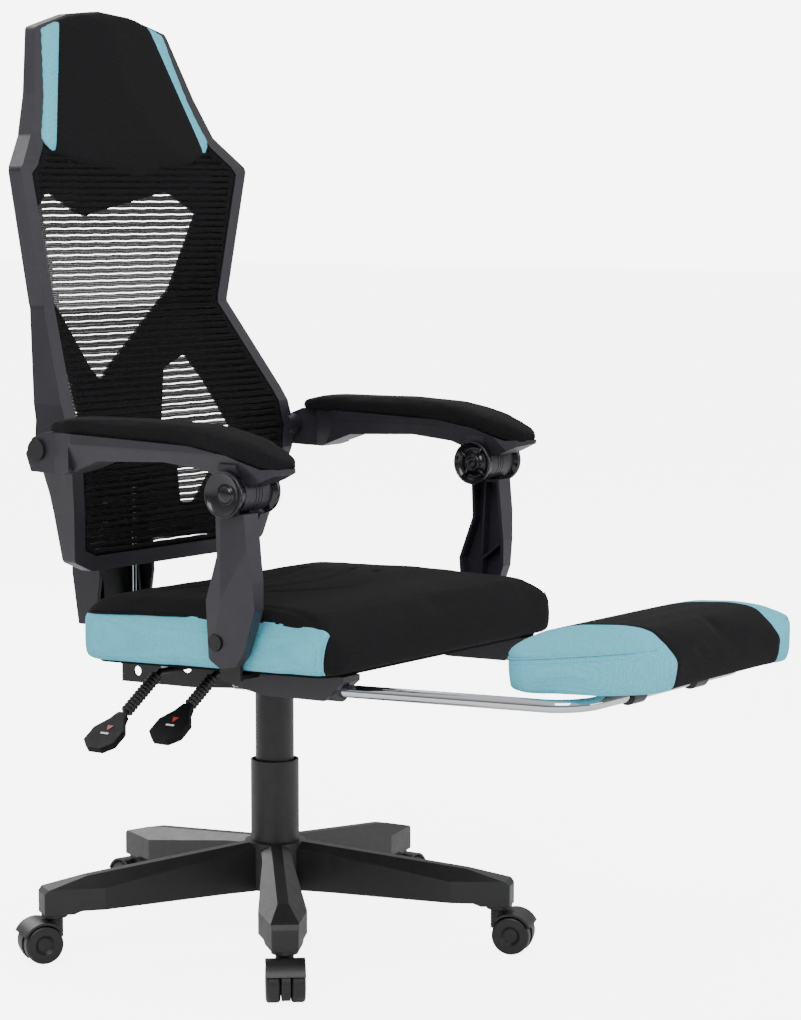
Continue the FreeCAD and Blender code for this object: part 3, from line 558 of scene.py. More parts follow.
@dataclass(frozen=True)
class Padding:
    """How foam fills a cover. Lengths are in millimetres."""

    rests: tuple[float, float, float]
    voxel: float = 6.0
    shrink: float = 3.0
    rounds: int = 4
    calm: int = 2
    pressure: float = 4.0
    cap: float = 9.0
    frames: int = 20
    spare: tuple[tuple[float, float, float], ...] = ((0.0, 0.0, 0.0), (0.0, 0.0, 0.0))

    def fill(self, shape: Shape) -> Shape:
        """Round a blank off, shrink it, let a cover under pressure swell, and divide it once.

        Args:
            shape: The blank, which is freed.

        Returns:
            The filled shape.
        """
        room = tuple(corner + Vector(more) for corner, more in zip(extent(shape), self.spare))
        work = helper(mesh_of(shape, "blank"))
        voxels = work.modifiers.new("voxels", "REMESH")
        voxels.mode = "VOXEL"
        voxels.voxel_size = self.voxel * MM
        soft = applied(work)
        for _ in range(self.rounds):
            smooth(soft)
        soft.normal_update()
        outward = [vert.normal.copy() for vert in soft.verts]
        for vert, way in zip(soft.verts, outward):
            vert.co -= way * self.shrink * MM
        start = [vert.co.copy() for vert in soft.verts]
        soft = self.swell(soft)
        self.settle(soft, start, outward)
        fit(soft, room)
        finer = helper(mesh_of(soft, "cover"))
        finer.modifiers.new("finer", "SUBSURF").levels = 1
        return applied(finer)

    def swell(self, soft: Shape) -> Shape:
        """Swell a closed shape as cloth under pressure.

        Args:
            soft: The closed shape, which is freed.

        Returns:
            The swollen shape.
        """
        work = helper(mesh_of(soft, "cover"))
        cloth = work.modifiers.new("cover", "CLOTH")
        cloth.settings.quality = 5
        cloth.settings.use_pressure = True
        cloth.settings.uniform_pressure_force = self.pressure
        cloth.settings.effector_weights.gravity = 0.0
        cloth.point_cache.frame_start = 1
        cloth.point_cache.frame_end = self.frames
        for number in range(1, self.frames + 1):
            bpy.context.scene.frame_set(number)
        swollen = applied(work)
        bpy.context.scene.frame_set(1)
        return swollen

    def settle(self, soft: Shape, start: Points, outward: Points) -> None:
        """Cap the swelling, and keep the side that rests on the frame where the blank had it.

        Args:
            soft: The swollen shape.
            start: Each point's place before it swelled.
            outward: Each point's normal before it swelled.
        """
        limit = self.cap * MM
        down = Vector(self.rests)
        for vert, was, way in zip(soft.verts, start, outward):
            moved = vert.co - was
            if moved.length > limit:
                moved = moved.normalized() * limit
            held = ease(way.dot(down), 0.15, 0.6)
            vert.co = was + moved - down * ((moved - way * self.shrink * MM).dot(down) * held)
        for _ in range(self.calm):
            smooth(soft)


def chained(edges: Sequence[bmesh.types.BMEdge]) -> list[list[Vector]]:
    """Sort loose edges into lines of points that follow each other.

    Args:
        edges: The edges, whose points have their index.

    Returns:
        One list of points for each line; a closed line ends where it began.
    """
    beside: dict[int, list[int]] = {}
    place: dict[int, Vector] = {}
    for edge in edges:
        first, second = edge.verts
        for vert, other in ((first, second), (second, first)):
            beside.setdefault(vert.index, []).append(other.index)
            place[vert.index] = vert.co.copy()
    left = dict.fromkeys(sorted(beside))
    lines = []
    while left:
        ends = [number for number in left if sum(other in left for other in beside[number]) < 2]
        here = (ends or list(left))[0]
        trail = []
        while here is not None:
            trail.append(here)
            del left[here]
            here = next((other for other in beside[here] if other in left), None)
        if not ends and len(trail) > 2:
            trail.append(trail[0])
        if len(trail) > 4:
            lines.append([place[number] for number in trail])
    return lines


def shares(steps: int) -> list[float]:
    """Even shares from 0 to 1, both included."""
    return [i / steps for i in range(steps + 1)]


def stepped(line: Points, step_mm: float) -> list[Vector]:
    """Points at even steps along a line.

    Args:
        line: The line's points.
        step_mm: Distance between the new points.

    Returns:
        The new points.
    """
    points = [line[0].copy()]
    ahead = step_mm * MM
    for start, end in zip(line, line[1:]):
        length = (end - start).length
        while length > 0.0 and ahead <= length:
            points.append(start.lerp(end, ahead / length))
            ahead += step_mm * MM
        ahead -= length
    return points


def eased_line(line: Points, rounds: int = 8) -> list[Vector]:
    """The line with its small steps averaged out.

    Args:
        line: The line's points.
        rounds: How often each point moves towards its neighbours' middle.

    Returns:
        The smoother points.
    """
    points = stepped(line, 4.0)
    for _ in range(rounds):
        inner = [(a + b * 2.0 + c) / 4.0 for a, b, c in zip(points, points[1:], points[2:])]
        points = [points[0], *inner, points[-1]]
    return points


def crease(shape: Shape, lines: Lines, depth_mm: float,
           reach_mm: float) -> None:
    """Pull a cover in along sewn lines.

    Args:
        shape: The cover.
        lines: The sewn lines.
        depth_mm: Depth at the line.
        reach_mm: How far from the line the pull is felt.
    """
    dots = [point for line in lines for point in stepped(line, 1.5)]
    tree = KDTree(len(dots))
    for index, point in enumerate(dots):
        tree.insert(point, index)
    tree.balance()
    shape.normal_update()
    pulls = []
    for vert in shape.verts:
        far = tree.find(vert.co)[2] / (reach_mm * MM)
        pulls.append(vert.normal * (depth_mm * MM * math.exp(-far * far)))
    for vert, pull in zip(shape.verts, pulls):
        vert.co -= pull


def tube(name: str, lines: Lines, radius_mm: float, finish: Finish, body: str,
         sides: int = 2) -> Piece:
    """Round cord or thread along lines.

    Args:
        name: The piece's name.
        lines: The lines that it follows.
        radius_mm: Its radius.
        finish: Its finish.
        body: The body that it rides on.
        sides: How finely its section is rounded.

    Returns:
        The new piece.
    """
    curve = bpy.data.curves.new(name, "CURVE")
    curve.dimensions = "3D"
    curve.bevel_depth = radius_mm * MM
    curve.bevel_resolution = sides
    curve.use_fill_caps = True
    for line in lines:
        closed = (line[0] - line[-1]).length < 0.1 * MM and len(line) > 4
        points = line[:-1] if closed else line
        spline = curve.splines.new("POLY")
        spline.points.add(len(points) - 1)
        spline.use_cyclic_u = closed
        for point, place in zip(spline.points, points):
            point.co = (*place, 1.0)
    return finished(name, applied(helper(curve)), [finish], body)


def stitches(name: str, lines: Lines, finish: Finish, body: str,
             pitch_mm: float = 4.4) -> Piece:
    """Top-stitching: one short thread after another along lines.

    Args:
        name: The piece's name.
        lines: The sewn lines, on the cover's surface.
        finish: The thread's finish.
        body: The body that it rides on.
        pitch_mm: Length of a stitch with its gap.

    Returns:
        The new piece.
    """
    threads = []
    for line in lines:
        marks = stepped(line, pitch_mm / 4.0)
        threads += [marks[i:i + 3] for i in range(0, len(marks) - 4, 4)]
    return tube(name, threads, 0.4, finish, body, 0)


@dataclass
class Upholstery:
    """A padded piece that stands for a CAD soft solid, with its panels and seams."""

    node: str
    name: str
    body: str
    padding: Padding
    tightness: float = 0.9

    def cut(self, shape: Shape, point: tuple, normal: tuple,
            sewn: Callable[[Vector], bool]) -> list[list[Vector]]:
        """Cut the cover's faces along a plane, and return the stretches that are sewn.

        Args:
            shape: The cover.
            point: A point on the plane.
            normal: The plane's normal.
            sewn: Whether the seam runs past a place.

        Returns:
            The seam's lines.
        """
        everything = list(shape.verts) + list(shape.edges) + list(shape.faces)
        made = bmesh.ops.bisect_plane(shape, geom=everything, dist=SNAP_MM * MM, plane_co=point,
                                      plane_no=normal)
        shape.verts.index_update()
        edges = [e for e in made["geom_cut"] if isinstance(e, bmesh.types.BMEdge)]
        return chained([e for e in edges if all(sewn(v.co) for v in e.verts)])

    def paint(self, shape: Shape, is_teal: Callable[[Vector], bool]) -> None:
        """Give the teal panels' faces the second finish.

        Args:
            shape: The cover.
            is_teal: Whether a face with that centre is teal.
        """
        for face in shape.faces:
            face.material_index = 1 if is_teal(face.calc_center_median()) else 0

    def on_cover(self, shape: Shape, start: Points, way: tuple,
                 proud_mm: float = 0.0) -> list[Vector]:
        """Drop points onto the cover.

        Args:
            shape: The cover.
            start: The points, outside the cover.
            way: The direction in which they drop.
            proud_mm: How far back from the surface they stop.

        Returns:
            The points on the cover.
        """
        tree = BVHTree.FromBMesh(shape)
        found = []
        for place in start:
            hit = tree.ray_cast(place, Vector(way))[0]
            if hit is not None:
                found.append(hit - Vector(way) * proud_mm * MM)
        return found

    def done(self, shape: Shape, finishes: Sequence[Finish]) -> Piece:
        """Turn the cover into the padded piece that stands for the CAD solid.

        Args:
            shape: The cover.
            finishes: Its finishes, black before teal.

        Returns:
            The new piece.
        """
        piece = finished(self.name, shape, finishes, self.body)
        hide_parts(self.node)
        return piece


@dataclass
class Seat(Upholstery):
    """Seat cushion: black top and waterfall front, and teal bands along the sides."""

    seam_rear: float = 0.4555
    seam_rise: float = 0.047
    band_front: float = -0.2700
    front_lean: float = 0.12
    rear_black: float = 0.17
    side_from: float = 0.236
    rear: float = 0.130
    corner_y: float = 0.04
    lean_from: float = 0.44
    underside: float = 0.4075
    rear_from: float = 0.08
    edge: float = 0.0005
    chevrons: tuple[tuple[float, float, float], ...] = (
        (0.020, 0.140, 0.040), (-0.062, 0.150, 0.045), (-0.135, 0.140, 0.072))
    chevron_bend: float = 1.6
    boxing_start: tuple[float, float] = (0.212, -0.15)
    boxing_run: tuple[float, float] = (0.034, -0.115)
    stitch_inset: tuple[float, float] = (0.03, 0.008)
    channel_mm: float = 3.4

    def build(self) -> None:
        """Build the cushion, its edge piping and its stitching."""
        shape = self.padding.fill(node_copy(self.node))
        lines = self.cut(shape, (0.0, self.rear, self.seam_rear), (0.0, self.seam_rise, 1.0),
                         self.on_side)
        fronts = self.cut(shape, (0.0, self.band_front, self.lean_from), (0.0, 1.0, self.front_lean),
                          self.at_front)
        ends = list(fronts)
        for way in (-1.0, 1.0):
            rear_seam = (way * self.rear_black, 0.0, 0.0)
            ends += self.cut(shape, rear_seam, (1.0, 0.0, 0.0), self.at_rear)
            self.cut(shape, (way * self.side_from, 0.0, 0.0), (1.0, 0.0, 0.0), self.at_front)
        self.paint(shape, self.is_teal)
        crease(shape, lines + ends, 1.6, 3.5)
        crease(shape, self.channels(shape), self.channel_mm, 7.0)
        crease(shape, self.boxing(shape), 2.0, 5.0)
        self.done(shape, [BLACK, TEAL])
        tube("seat_band_cord", [eased_line(line) for line in lines], 1.0, BLACK, self.body)
        tube("seat_band_piping", [eased_line(line) for line in ends], 1.2, TEAL, self.body)
        sewn = []
        outside, behind = self.stitch_inset
        for line in fronts:
            beside = [place + Vector((math.copysign(outside, place.x), behind, 0.0))
                      for place in eased_line(line)]
            sewn.append(self.dropped(beside))
        stitches("seat_band_stitches", [line for line in sewn if len(line) > 4], TEAL_THREAD, self.body)

    def dropped(self, points: Points) -> list[Vector]:
        """Drop points sideways onto the finished cushion.

        Args:
            points: Points beside the cushion.

        Returns:
            The points on its side.
        """
        shape = bmesh.new()
        shape.from_mesh(bpy.data.objects[self.name].data)
        way = (-1.0, 0.0, 0.0) if points[0].x > 0.0 else (1.0, 0.0, 0.0)
        found = self.on_cover(shape, points, way, 0.2)
        shape.free()
        return found

    def seam_height(self, place: Vector) -> float:
        """Height of the side seam at a place along the cushion."""
        return self.seam_rear + (self.rear - place.y) * self.seam_rise

    def on_flank(self, place: Vector) -> bool:
        """Whether a place is on a side or a rear corner."""
        return abs(place.x) > self.side_from - self.edge or place.y > self.corner_y

    def behind_front(self, place: Vector) -> bool:
        """Whether a place is behind the band's front end."""
        lean = self.front_lean * (place.z - self.lean_from)
        return place.y + lean > self.band_front - self.edge

    def in_rear_gap(self, place: Vector) -> bool:
        """Whether a place is between the bands at the rear."""
        return place.y > self.rear_from and abs(place.x) < self.rear_black - self.edge

    def on_side(self, place: Vector) -> bool:
        """Whether the side seam is sewn here."""
        on_band = self.on_flank(place) and self.behind_front(place)
        return on_band and not self.in_rear_gap(place)

    def in_band(self, place: Vector) -> bool:
        """Whether a place is between the underside and the side seam."""
        return self.underside < place.z < self.seam_height(place) + self.edge

    def at_front(self, place: Vector) -> bool:
        """Whether the band's front end is sewn here."""
        return self.on_flank(place) and self.in_band(place)

    def at_rear(self, place: Vector) -> bool:
        """Whether the band's rear end is sewn here."""
        return place.y > self.rear_from and self.in_band(place)

    def is_teal(self, place: Vector) -> bool:
        """Whether the face here belongs to a teal band."""
        return place.z < self.seam_height(place) and self.on_side(place)

    def channels(self, shape: Shape) -> list[list[Vector]]:
        """Curved chevrons sewn into the top.

        Args:
            shape: The cover.

        Returns:
            The sewn lines on the surface.
        """
        lines = []
        for middle, reach, sweep in self.chevrons:
            for way in (-1.0, 1.0):
                start = [Vector((way * reach * share, middle + sweep * share ** self.chevron_bend,
                                 OVERHEAD)) for share in shares(30)]
                lines.append(self.on_cover(shape, start, (0.0, 0.0, -1.0)))
        return lines

    def boxing(self, shape: Shape) -> list[list[Vector]]:
        """Curved seam from the side's top edge down to the band's front top corner.

        Args:
            shape: The cover.

        Returns:
            The sewn lines on the surface.
        """
        lines = []
        (from_x, from_y), (run_x, run_y) = self.boxing_start, self.boxing_run
        for way in (-1.0, 1.0):
            start = [Vector((way * (from_x + run_x * share ** 3), from_y + run_y * share, OVERHEAD))
                     for share in shares(24)]
            lines.append(self.on_cover(shape, start, (0.0, 0.0, -1.0)))
        return lines


@dataclass
class Headrest(Upholstery):
    """Headrest: black centre with a teal strip down each side."""

    seam_x: float = 0.091
    seam_z: float = 1.213
    seam_flare: float = 0.352
    rest_y: float = 0.253
    rest_z: float = 1.066
    rest_rise: float = 0.2816
    thinner: float = 0.25
    setback: float = 0.003

    def build(self) -> None:
        """Build the cushion with its two long seams."""
        shape = self.padding.fill(node_copy(self.node))
        for vert in shape.verts:
            behind = self.rest_y + (vert.co.z - self.rest_z) * self.rest_rise
            vert.co.y += self.setback + max(behind - vert.co.y, 0.0) * self.thinner
        lines = []
        for way in (-1.0, 1.0):
            lines += self.cut(shape, (way * self.seam_x, 0.0, self.seam_z), (way, 0.0, self.seam_flare),
                              lambda place: True)
        self.paint(shape, lambda c: abs(c.x) + (c.z - self.seam_z) * self.seam_flare > self.seam_x)
        crease(shape, lines, 1.4, 3.5)
        self.done(shape, [BLACK, TEAL])


@dataclass
class FootPad(Upholstery):
    """Footrest pad: black centre, and teal ends with a piped lower panel."""

    seam_x: float = 0.122
    end_x: float = 0.152
    end_y: float = -0.582
    end_z: float = 0.456
    end_rise: float = 0.13
    stitch_drop: float = 0.0065

    def build(self) -> None:
        """Build the pad, its piping and its stitching."""
        shape = self.padding.fill(node_copy(self.node))
        lines = []
        for way in (-1.0, 1.0):
            lines += self.cut(shape, (way * self.seam_x, 0.0, 0.0), (1.0, 0.0, 0.0), lambda place: True)
        ends = self.cut(shape, (0.0, self.end_y, self.end_z), (0.0, self.end_rise, 1.0), self.at_end)
        self.paint(shape, lambda centre: abs(centre.x) > self.seam_x)
        crease(shape, lines, 1.3, 3.5)
        crease(shape, ends, 1.2, 3.5)
        threads = self.cut(shape, (0.0, self.end_y, self.end_z - self.stitch_drop),
                           (0.0, self.end_rise, 1.0), self.at_end)
        self.done(shape, [BLACK, TEAL])
        tube("footrest_end_piping", [eased_line(line) for line in ends], 1.2, TEAL, self.body)
        threads = [eased_line(line, 3) for line in threads]
        stitches("footrest_end_stitches", threads, TEAL_THREAD, self.body)

    def at_end(self, place: Vector) -> bool:
        """Whether the end panel's seam is sewn here."""
        return abs(place.x) > self.end_x


@dataclass
class ArmPad(Upholstery):
    """Arm pad: one black cover pulled down over the arm's rim."""

    def build(self) -> None:
        """Build the pad."""
        self.done(self.padding.fill(node_copy(self.node)), [BLACK])


@dataclass
class BackNet:
    """Mesh of the back: dense knitted bands with open slots between them, a sewn border, and a black
    strip of painted shade behind its edge.
    """

    node: str = "back_mesh"
    pitch: float = 0.0087
    slot: float = 0.0013
    column: float = 0.012
    border: float = 0.009
    wave: float = 0.0004
    wave_across: float = 160.0
    wave_down: float = 23.0
    facing: float = -0.3
    thick: float = 0.0008
    shade_strip: float = 0.012
    shade_strip_over: float = 0.002
    shade_strip_step: float = 0.02
    shell_inset: float = 0.975
    shade_strip_behind: float = 0.0012
    shade_strip_inset: float = 0.994

    def build(self) -> None:
        """Cut the slots out of the stretched sheet, leave its border whole, add the painted shade strip
        behind its edge, and thicken the sheet.
        """
        sheet = self.front_face()
        low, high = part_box(self.node)
        full = sum(face.calc_area() for face in sheet.faces)
        rim = self.rim_tree(sheet)
        x = low.x + self.column
        while x < high.x:
            self.slice(sheet, (x, 0.0, 0.0), (1.0, 0.0, 0.0))
            x += self.column
        starts = []
        z = low.z + self.border
        while z < high.z - self.border:
            starts.append(z)
            self.slice(sheet, (0.0, 0.0, z), (0.0, 0.0, 1.0))
            self.slice(sheet, (0.0, 0.0, z + self.slot), (0.0, 0.0, 1.0))
            z += self.pitch
        holes = []
        for face in sheet.faces:
            centre = face.calc_center_median()
            above = (centre.z - starts[0]) % self.pitch
            if above < self.slot and rim.find(centre)[2] > self.border:
                holes.append(face)
        bmesh.ops.delete(sheet, geom=holes, context="FACES")
        for vert in sheet.verts:
            if rim.find(vert.co)[2] > self.border:
                phase = vert.co.x * self.wave_across + vert.co.z * self.wave_down
                vert.co.z += self.wave * math.sin(phase)
        # Painted shade strip behind the net's edge.
        self.painted_shade_strip()
        net = finished("back_net", sheet, [NET], Body.BACK.value)
        self.thicken(net)
        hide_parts(self.node)

    def thicken(self, piece: Piece) -> None:
        """Give a sheet its thickness, half to each side."""
        solid = piece.modifiers.new("thickness", "SOLIDIFY")
        solid.thickness = self.thick
        solid.offset = 0.0

    def painted_shade_strip(self) -> None:
        """Painted shade: a black strip from the sheet's edge back to the shell, which darkens the gap
        between ring and shell.
        """
        shade_strip = self.front_face()
        low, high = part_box(self.node)
        z = low.z + self.shade_strip_step
        while z < high.z:
            self.slice(shade_strip, (0.0, 0.0, z), (0.0, 0.0, 1.0))
            z += self.shade_strip_step
        shell = BVHTree.FromBMesh(node_copy("back_shell"))
        sheet_faces = list(shade_strip.faces)
        rim = [edge for edge in shade_strip.edges if edge.is_boundary]
        made = bmesh.ops.extrude_edge_only(shade_strip, edges=rim)
        rear = [item for item in made["geom"] if isinstance(item, bmesh.types.BMVert)]
        for vert in rear:
            inside = Vector((vert.co.x * self.shell_inset, vert.co.y, vert.co.z))
            hit = shell.ray_cast(inside, Vector((0.0, 1.0, 0.0)))[0]
            vert.co.y += self.shade_strip if hit is None else hit.y - vert.co.y + self.shade_strip_over
        bmesh.ops.delete(shade_strip, geom=sheet_faces, context="FACES")
        for vert in shade_strip.verts:
            vert.co.x *= self.shade_strip_inset
            vert.co.y += self.shade_strip_behind
        # Painted shade: this strip stands for the shade in the gap behind the net's edge.
        made = finished("back_net_painted_shade_strip", shade_strip, [LINING_AND_SHADE_STRIP], Body.BACK.value)
        self.thicken(made)

    def front_face(self) -> Shape:
        """The CAD sheet's front, as one layer.

        Returns:
            The sheet without its rear and its edges.
        """
        sheet = node_copy(self.node)
        sheet.normal_update()
        others = [face for face in sheet.faces if face.normal.y > self.facing]
        bmesh.ops.delete(sheet, geom=others, context="FACES")
        return sheet

    def rim_tree(self, sheet: Shape) -> KDTree:
        """Search tree of points along the sheet's outline.

        Args:
            sheet: The sheet before it is sliced.

        Returns:
            The tree.
        """
        dots = []
        for edge in sheet.edges:
            if edge.is_boundary:
                dots += stepped([edge.verts[0].co, edge.verts[1].co], 2.0)
        tree = KDTree(len(dots))
        for index, dot in enumerate(dots):
            tree.insert(dot, index)
        tree.balance()
        return tree

    def slice(self, sheet: Shape, point: tuple, normal: tuple) -> None:
        """Cut the sheet's faces along a plane."""
        everything = list(sheet.verts) + list(sheet.edges) + list(sheet.faces)
        bmesh.ops.bisect_plane(sheet, geom=everything, dist=MERGE_MM * MM, plane_co=point,
                               plane_no=normal)


def turn(shape: Shape, centre: Vector, profile: Sequence[tuple[float, float]], way: float,
         sides: int = 56) -> None:
    """Spin a profile about the x axis.

    Args:
        shape: The shape that it is added to.
        centre: The point that the profile is measured from.
        profile: Points of (radius, distance along the axis) in millimetres.
        way: 1 to measure along +x, -1 along -x.
        sides: Number of steps in the full turn.
    """
    verts = [shape.verts.new(centre + Vector((way * along, 0.0, radius)) * MM)
             for radius, along in profile]
    edges = [shape.edges.new(pair) for pair in zip(verts, verts[1:])]
    bmesh.ops.spin(shape, geom=verts + edges, cent=centre, axis=(1.0, 0.0, 0.0), angle=math.tau,
                   steps=sides, use_merge=True)


@dataclass
class BarrelCaps:
    """Caps on both ends of an arm's barrel: a polished dish outside, and spokes inside."""

    side: str
    pivot: tuple[float, float] = (-0.161, 0.628)
    outer_seat: float = 0.2925
    inner_seat: float = 0.2325
    dish: tuple[tuple[float, float], ...] = (
        (0.0, 0.0), (29.0, 0.0), (29.0, 7.8), (28.6, 8.7), (27.8, 9.0), (26.9, 8.8), (26.2, 8.0),
        (25.6, 7.2), (20.0, 5.0), (13.6, 2.9), (12.4, 2.7), (11.6, 3.4), (11.0, 4.6), (9.6, 6.0),
        (7.2, 7.1), (4.0, 7.7), (0.0, 7.9))
    cup: tuple[tuple[float, float], ...] = (
        (0.0, 0.0), (29.0, 0.0), (29.0, 7.8), (28.4, 8.8), (27.2, 9.0), (26.2, 8.4), (25.8, 3.0),
        (13.0, 3.0), (12.4, 7.4), (11.4, 8.4), (9.0, 8.8), (7.6, 8.2), (6.0, 7.2), (3.0, 8.0),
        (0.0, 8.4))
    spoke: tuple[float, float, float] = (5.2, 2.6, 15.0)
    spoke_from: float = 11.0
    spoke_seat: float = 2.8
    spoke_turn: float = 38.0

    def build(self) -> None:
        """Turn both caps, and add the inner one's spokes."""
        way = SIDES[self.side]
        shape = bmesh.new()
        outer = Vector((way * self.outer_seat, *self.pivot))
        inner = Vector((way * self.inner_seat, *self.pivot))
        turn(shape, outer, self.dish, way)
        turn(shape, inner, self.cup, -way)
        bmesh.ops.remove_doubles(shape, verts=shape.verts, dist=0.01 * MM)
        bmesh.ops.recalc_face_normals(shape, faces=shape.faces)
        for quarter in range(4):
            self.add_spoke(shape, inner, way, quarter)
        piece = finished("barrel_caps_%s_turned" % self.side, shape, [GLOSS], "arm_" + self.side)
        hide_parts("barrel_caps_" + self.side)

    def add_spoke(self, shape: Shape, inner: Vector, way: float, quarter: int) -> None:
        """Add one spoke of the inner cap.

        Args:
            shape: The shape that it is added to.
            inner: Where the inner cap sits.
            way: 1 for the left arm and -1 for the right.
            quarter: Which of the four spokes.
        """
        size = Vector(self.spoke) * MM
        out = self.spoke_from * MM + size.z / 2.0
        turned = Matrix.Rotation(math.radians(90.0 * quarter + self.spoke_turn), 4, "X")
        inward = -way * (size.x / 2.0 + self.spoke_seat * MM)
        place = Matrix.Translation(inner + Vector((inward, 0.0, 0.0))) @ turned
        place @= Matrix.Translation((0.0, 0.0, out)) @ Matrix.Diagonal((*size, 1.0))
        bmesh.ops.create_cube(shape, size=1.0, matrix=place)


@dataclass
class LeverMark:
    """Printed mark on a lever's paddle: a plain red arrow over a white bar."""

    lever: str
    towards: tuple[float, float, float] = (-0.8, -0.58, 0.15)
    down_lever: tuple[float, float, float] = (-1.0, 0.0, -0.65)
    lift: float = 0.00025
    ink_mm: float = 0.2
    arrow: tuple[float, float, float] = (-3.0, 10.0, 9.0)
    bar: tuple[float, float, float] = (8.5, 3.2, 15.0)

    def build(self) -> None:
        """Print the mark on the paddle's broad face."""
        shape = node_copy(self.lever + "_paddle")
        bmesh.ops.dissolve_limit(shape, angle_limit=math.radians(1.0), verts=shape.verts,
                                 edges=shape.edges)
        seen = Vector(self.towards).normalized()
        face = max(shape.faces, key=lambda f: f.calc_area() * max(f.normal.dot(seen), 0.0))
        normal, centre = face.normal.copy(), face.calc_center_median()
        shape.free()
        down = Vector(self.down_lever)
        along = (down - normal * normal.dot(down)).normalized()
        base = Matrix((along, normal.cross(along), normal)).transposed().to_4x4()
        base.translation = centre + normal * self.lift
        self.print_on("_mark_red", base, self.arrow, 3, RED_INK)
        self.print_on("_mark_white", base, self.bar, 4, WHITE_INK)

    def print_on(self, suffix: str, base: Matrix, form: tuple[float, float, float], corners: int,
                 finish: Finish) -> None:
        """Print one flat form.

        Args:
            suffix: End of the piece's name.
            base: The paddle's face as a matrix.
            form: The form's place along the lever, its length and its width, in millimetres.
            corners: Its number of corners.
            finish: The ink.
        """
        ink = bmesh.new()
        turned = math.pi / 4.0 if corners == 4 else -math.pi / 2.0
        bmesh.ops.create_circle(ink, cap_ends=True, radius=0.62, segments=corners,
                                matrix=Matrix.Rotation(turned, 4, "Z"))
        pulled = bmesh.ops.extrude_face_region(ink, geom=list(ink.faces))
        risen = [v for v in pulled["geom"] if isinstance(v, bmesh.types.BMVert)]
        bmesh.ops.translate(ink, verts=risen, vec=(0.0, 0.0, self.ink_mm))
        along, length, width = (value * MM for value in form)
        spot = Matrix.Translation((along, 0.0, 0.0)) @ Matrix.Diagonal((length, width, MM, 1.0))
        bmesh.ops.transform(ink, matrix=base @ spot, verts=ink.verts)
        bmesh.ops.recalc_face_normals(ink, faces=ink.faces)
        finished(self.lever + suffix, ink, [finish], self.lever, smooth=False)


def repaint(finish: Finish, *nodes: str) -> None:
    """Give CAD nodes that stay as they are a finish.

    Args:
        finish: The finish.
        nodes: Names of the nodes.
    """
    for name in nodes:
        node = frame["nodes"][name]
        node.data.materials.clear()
        node.data.materials.append(finish.material())


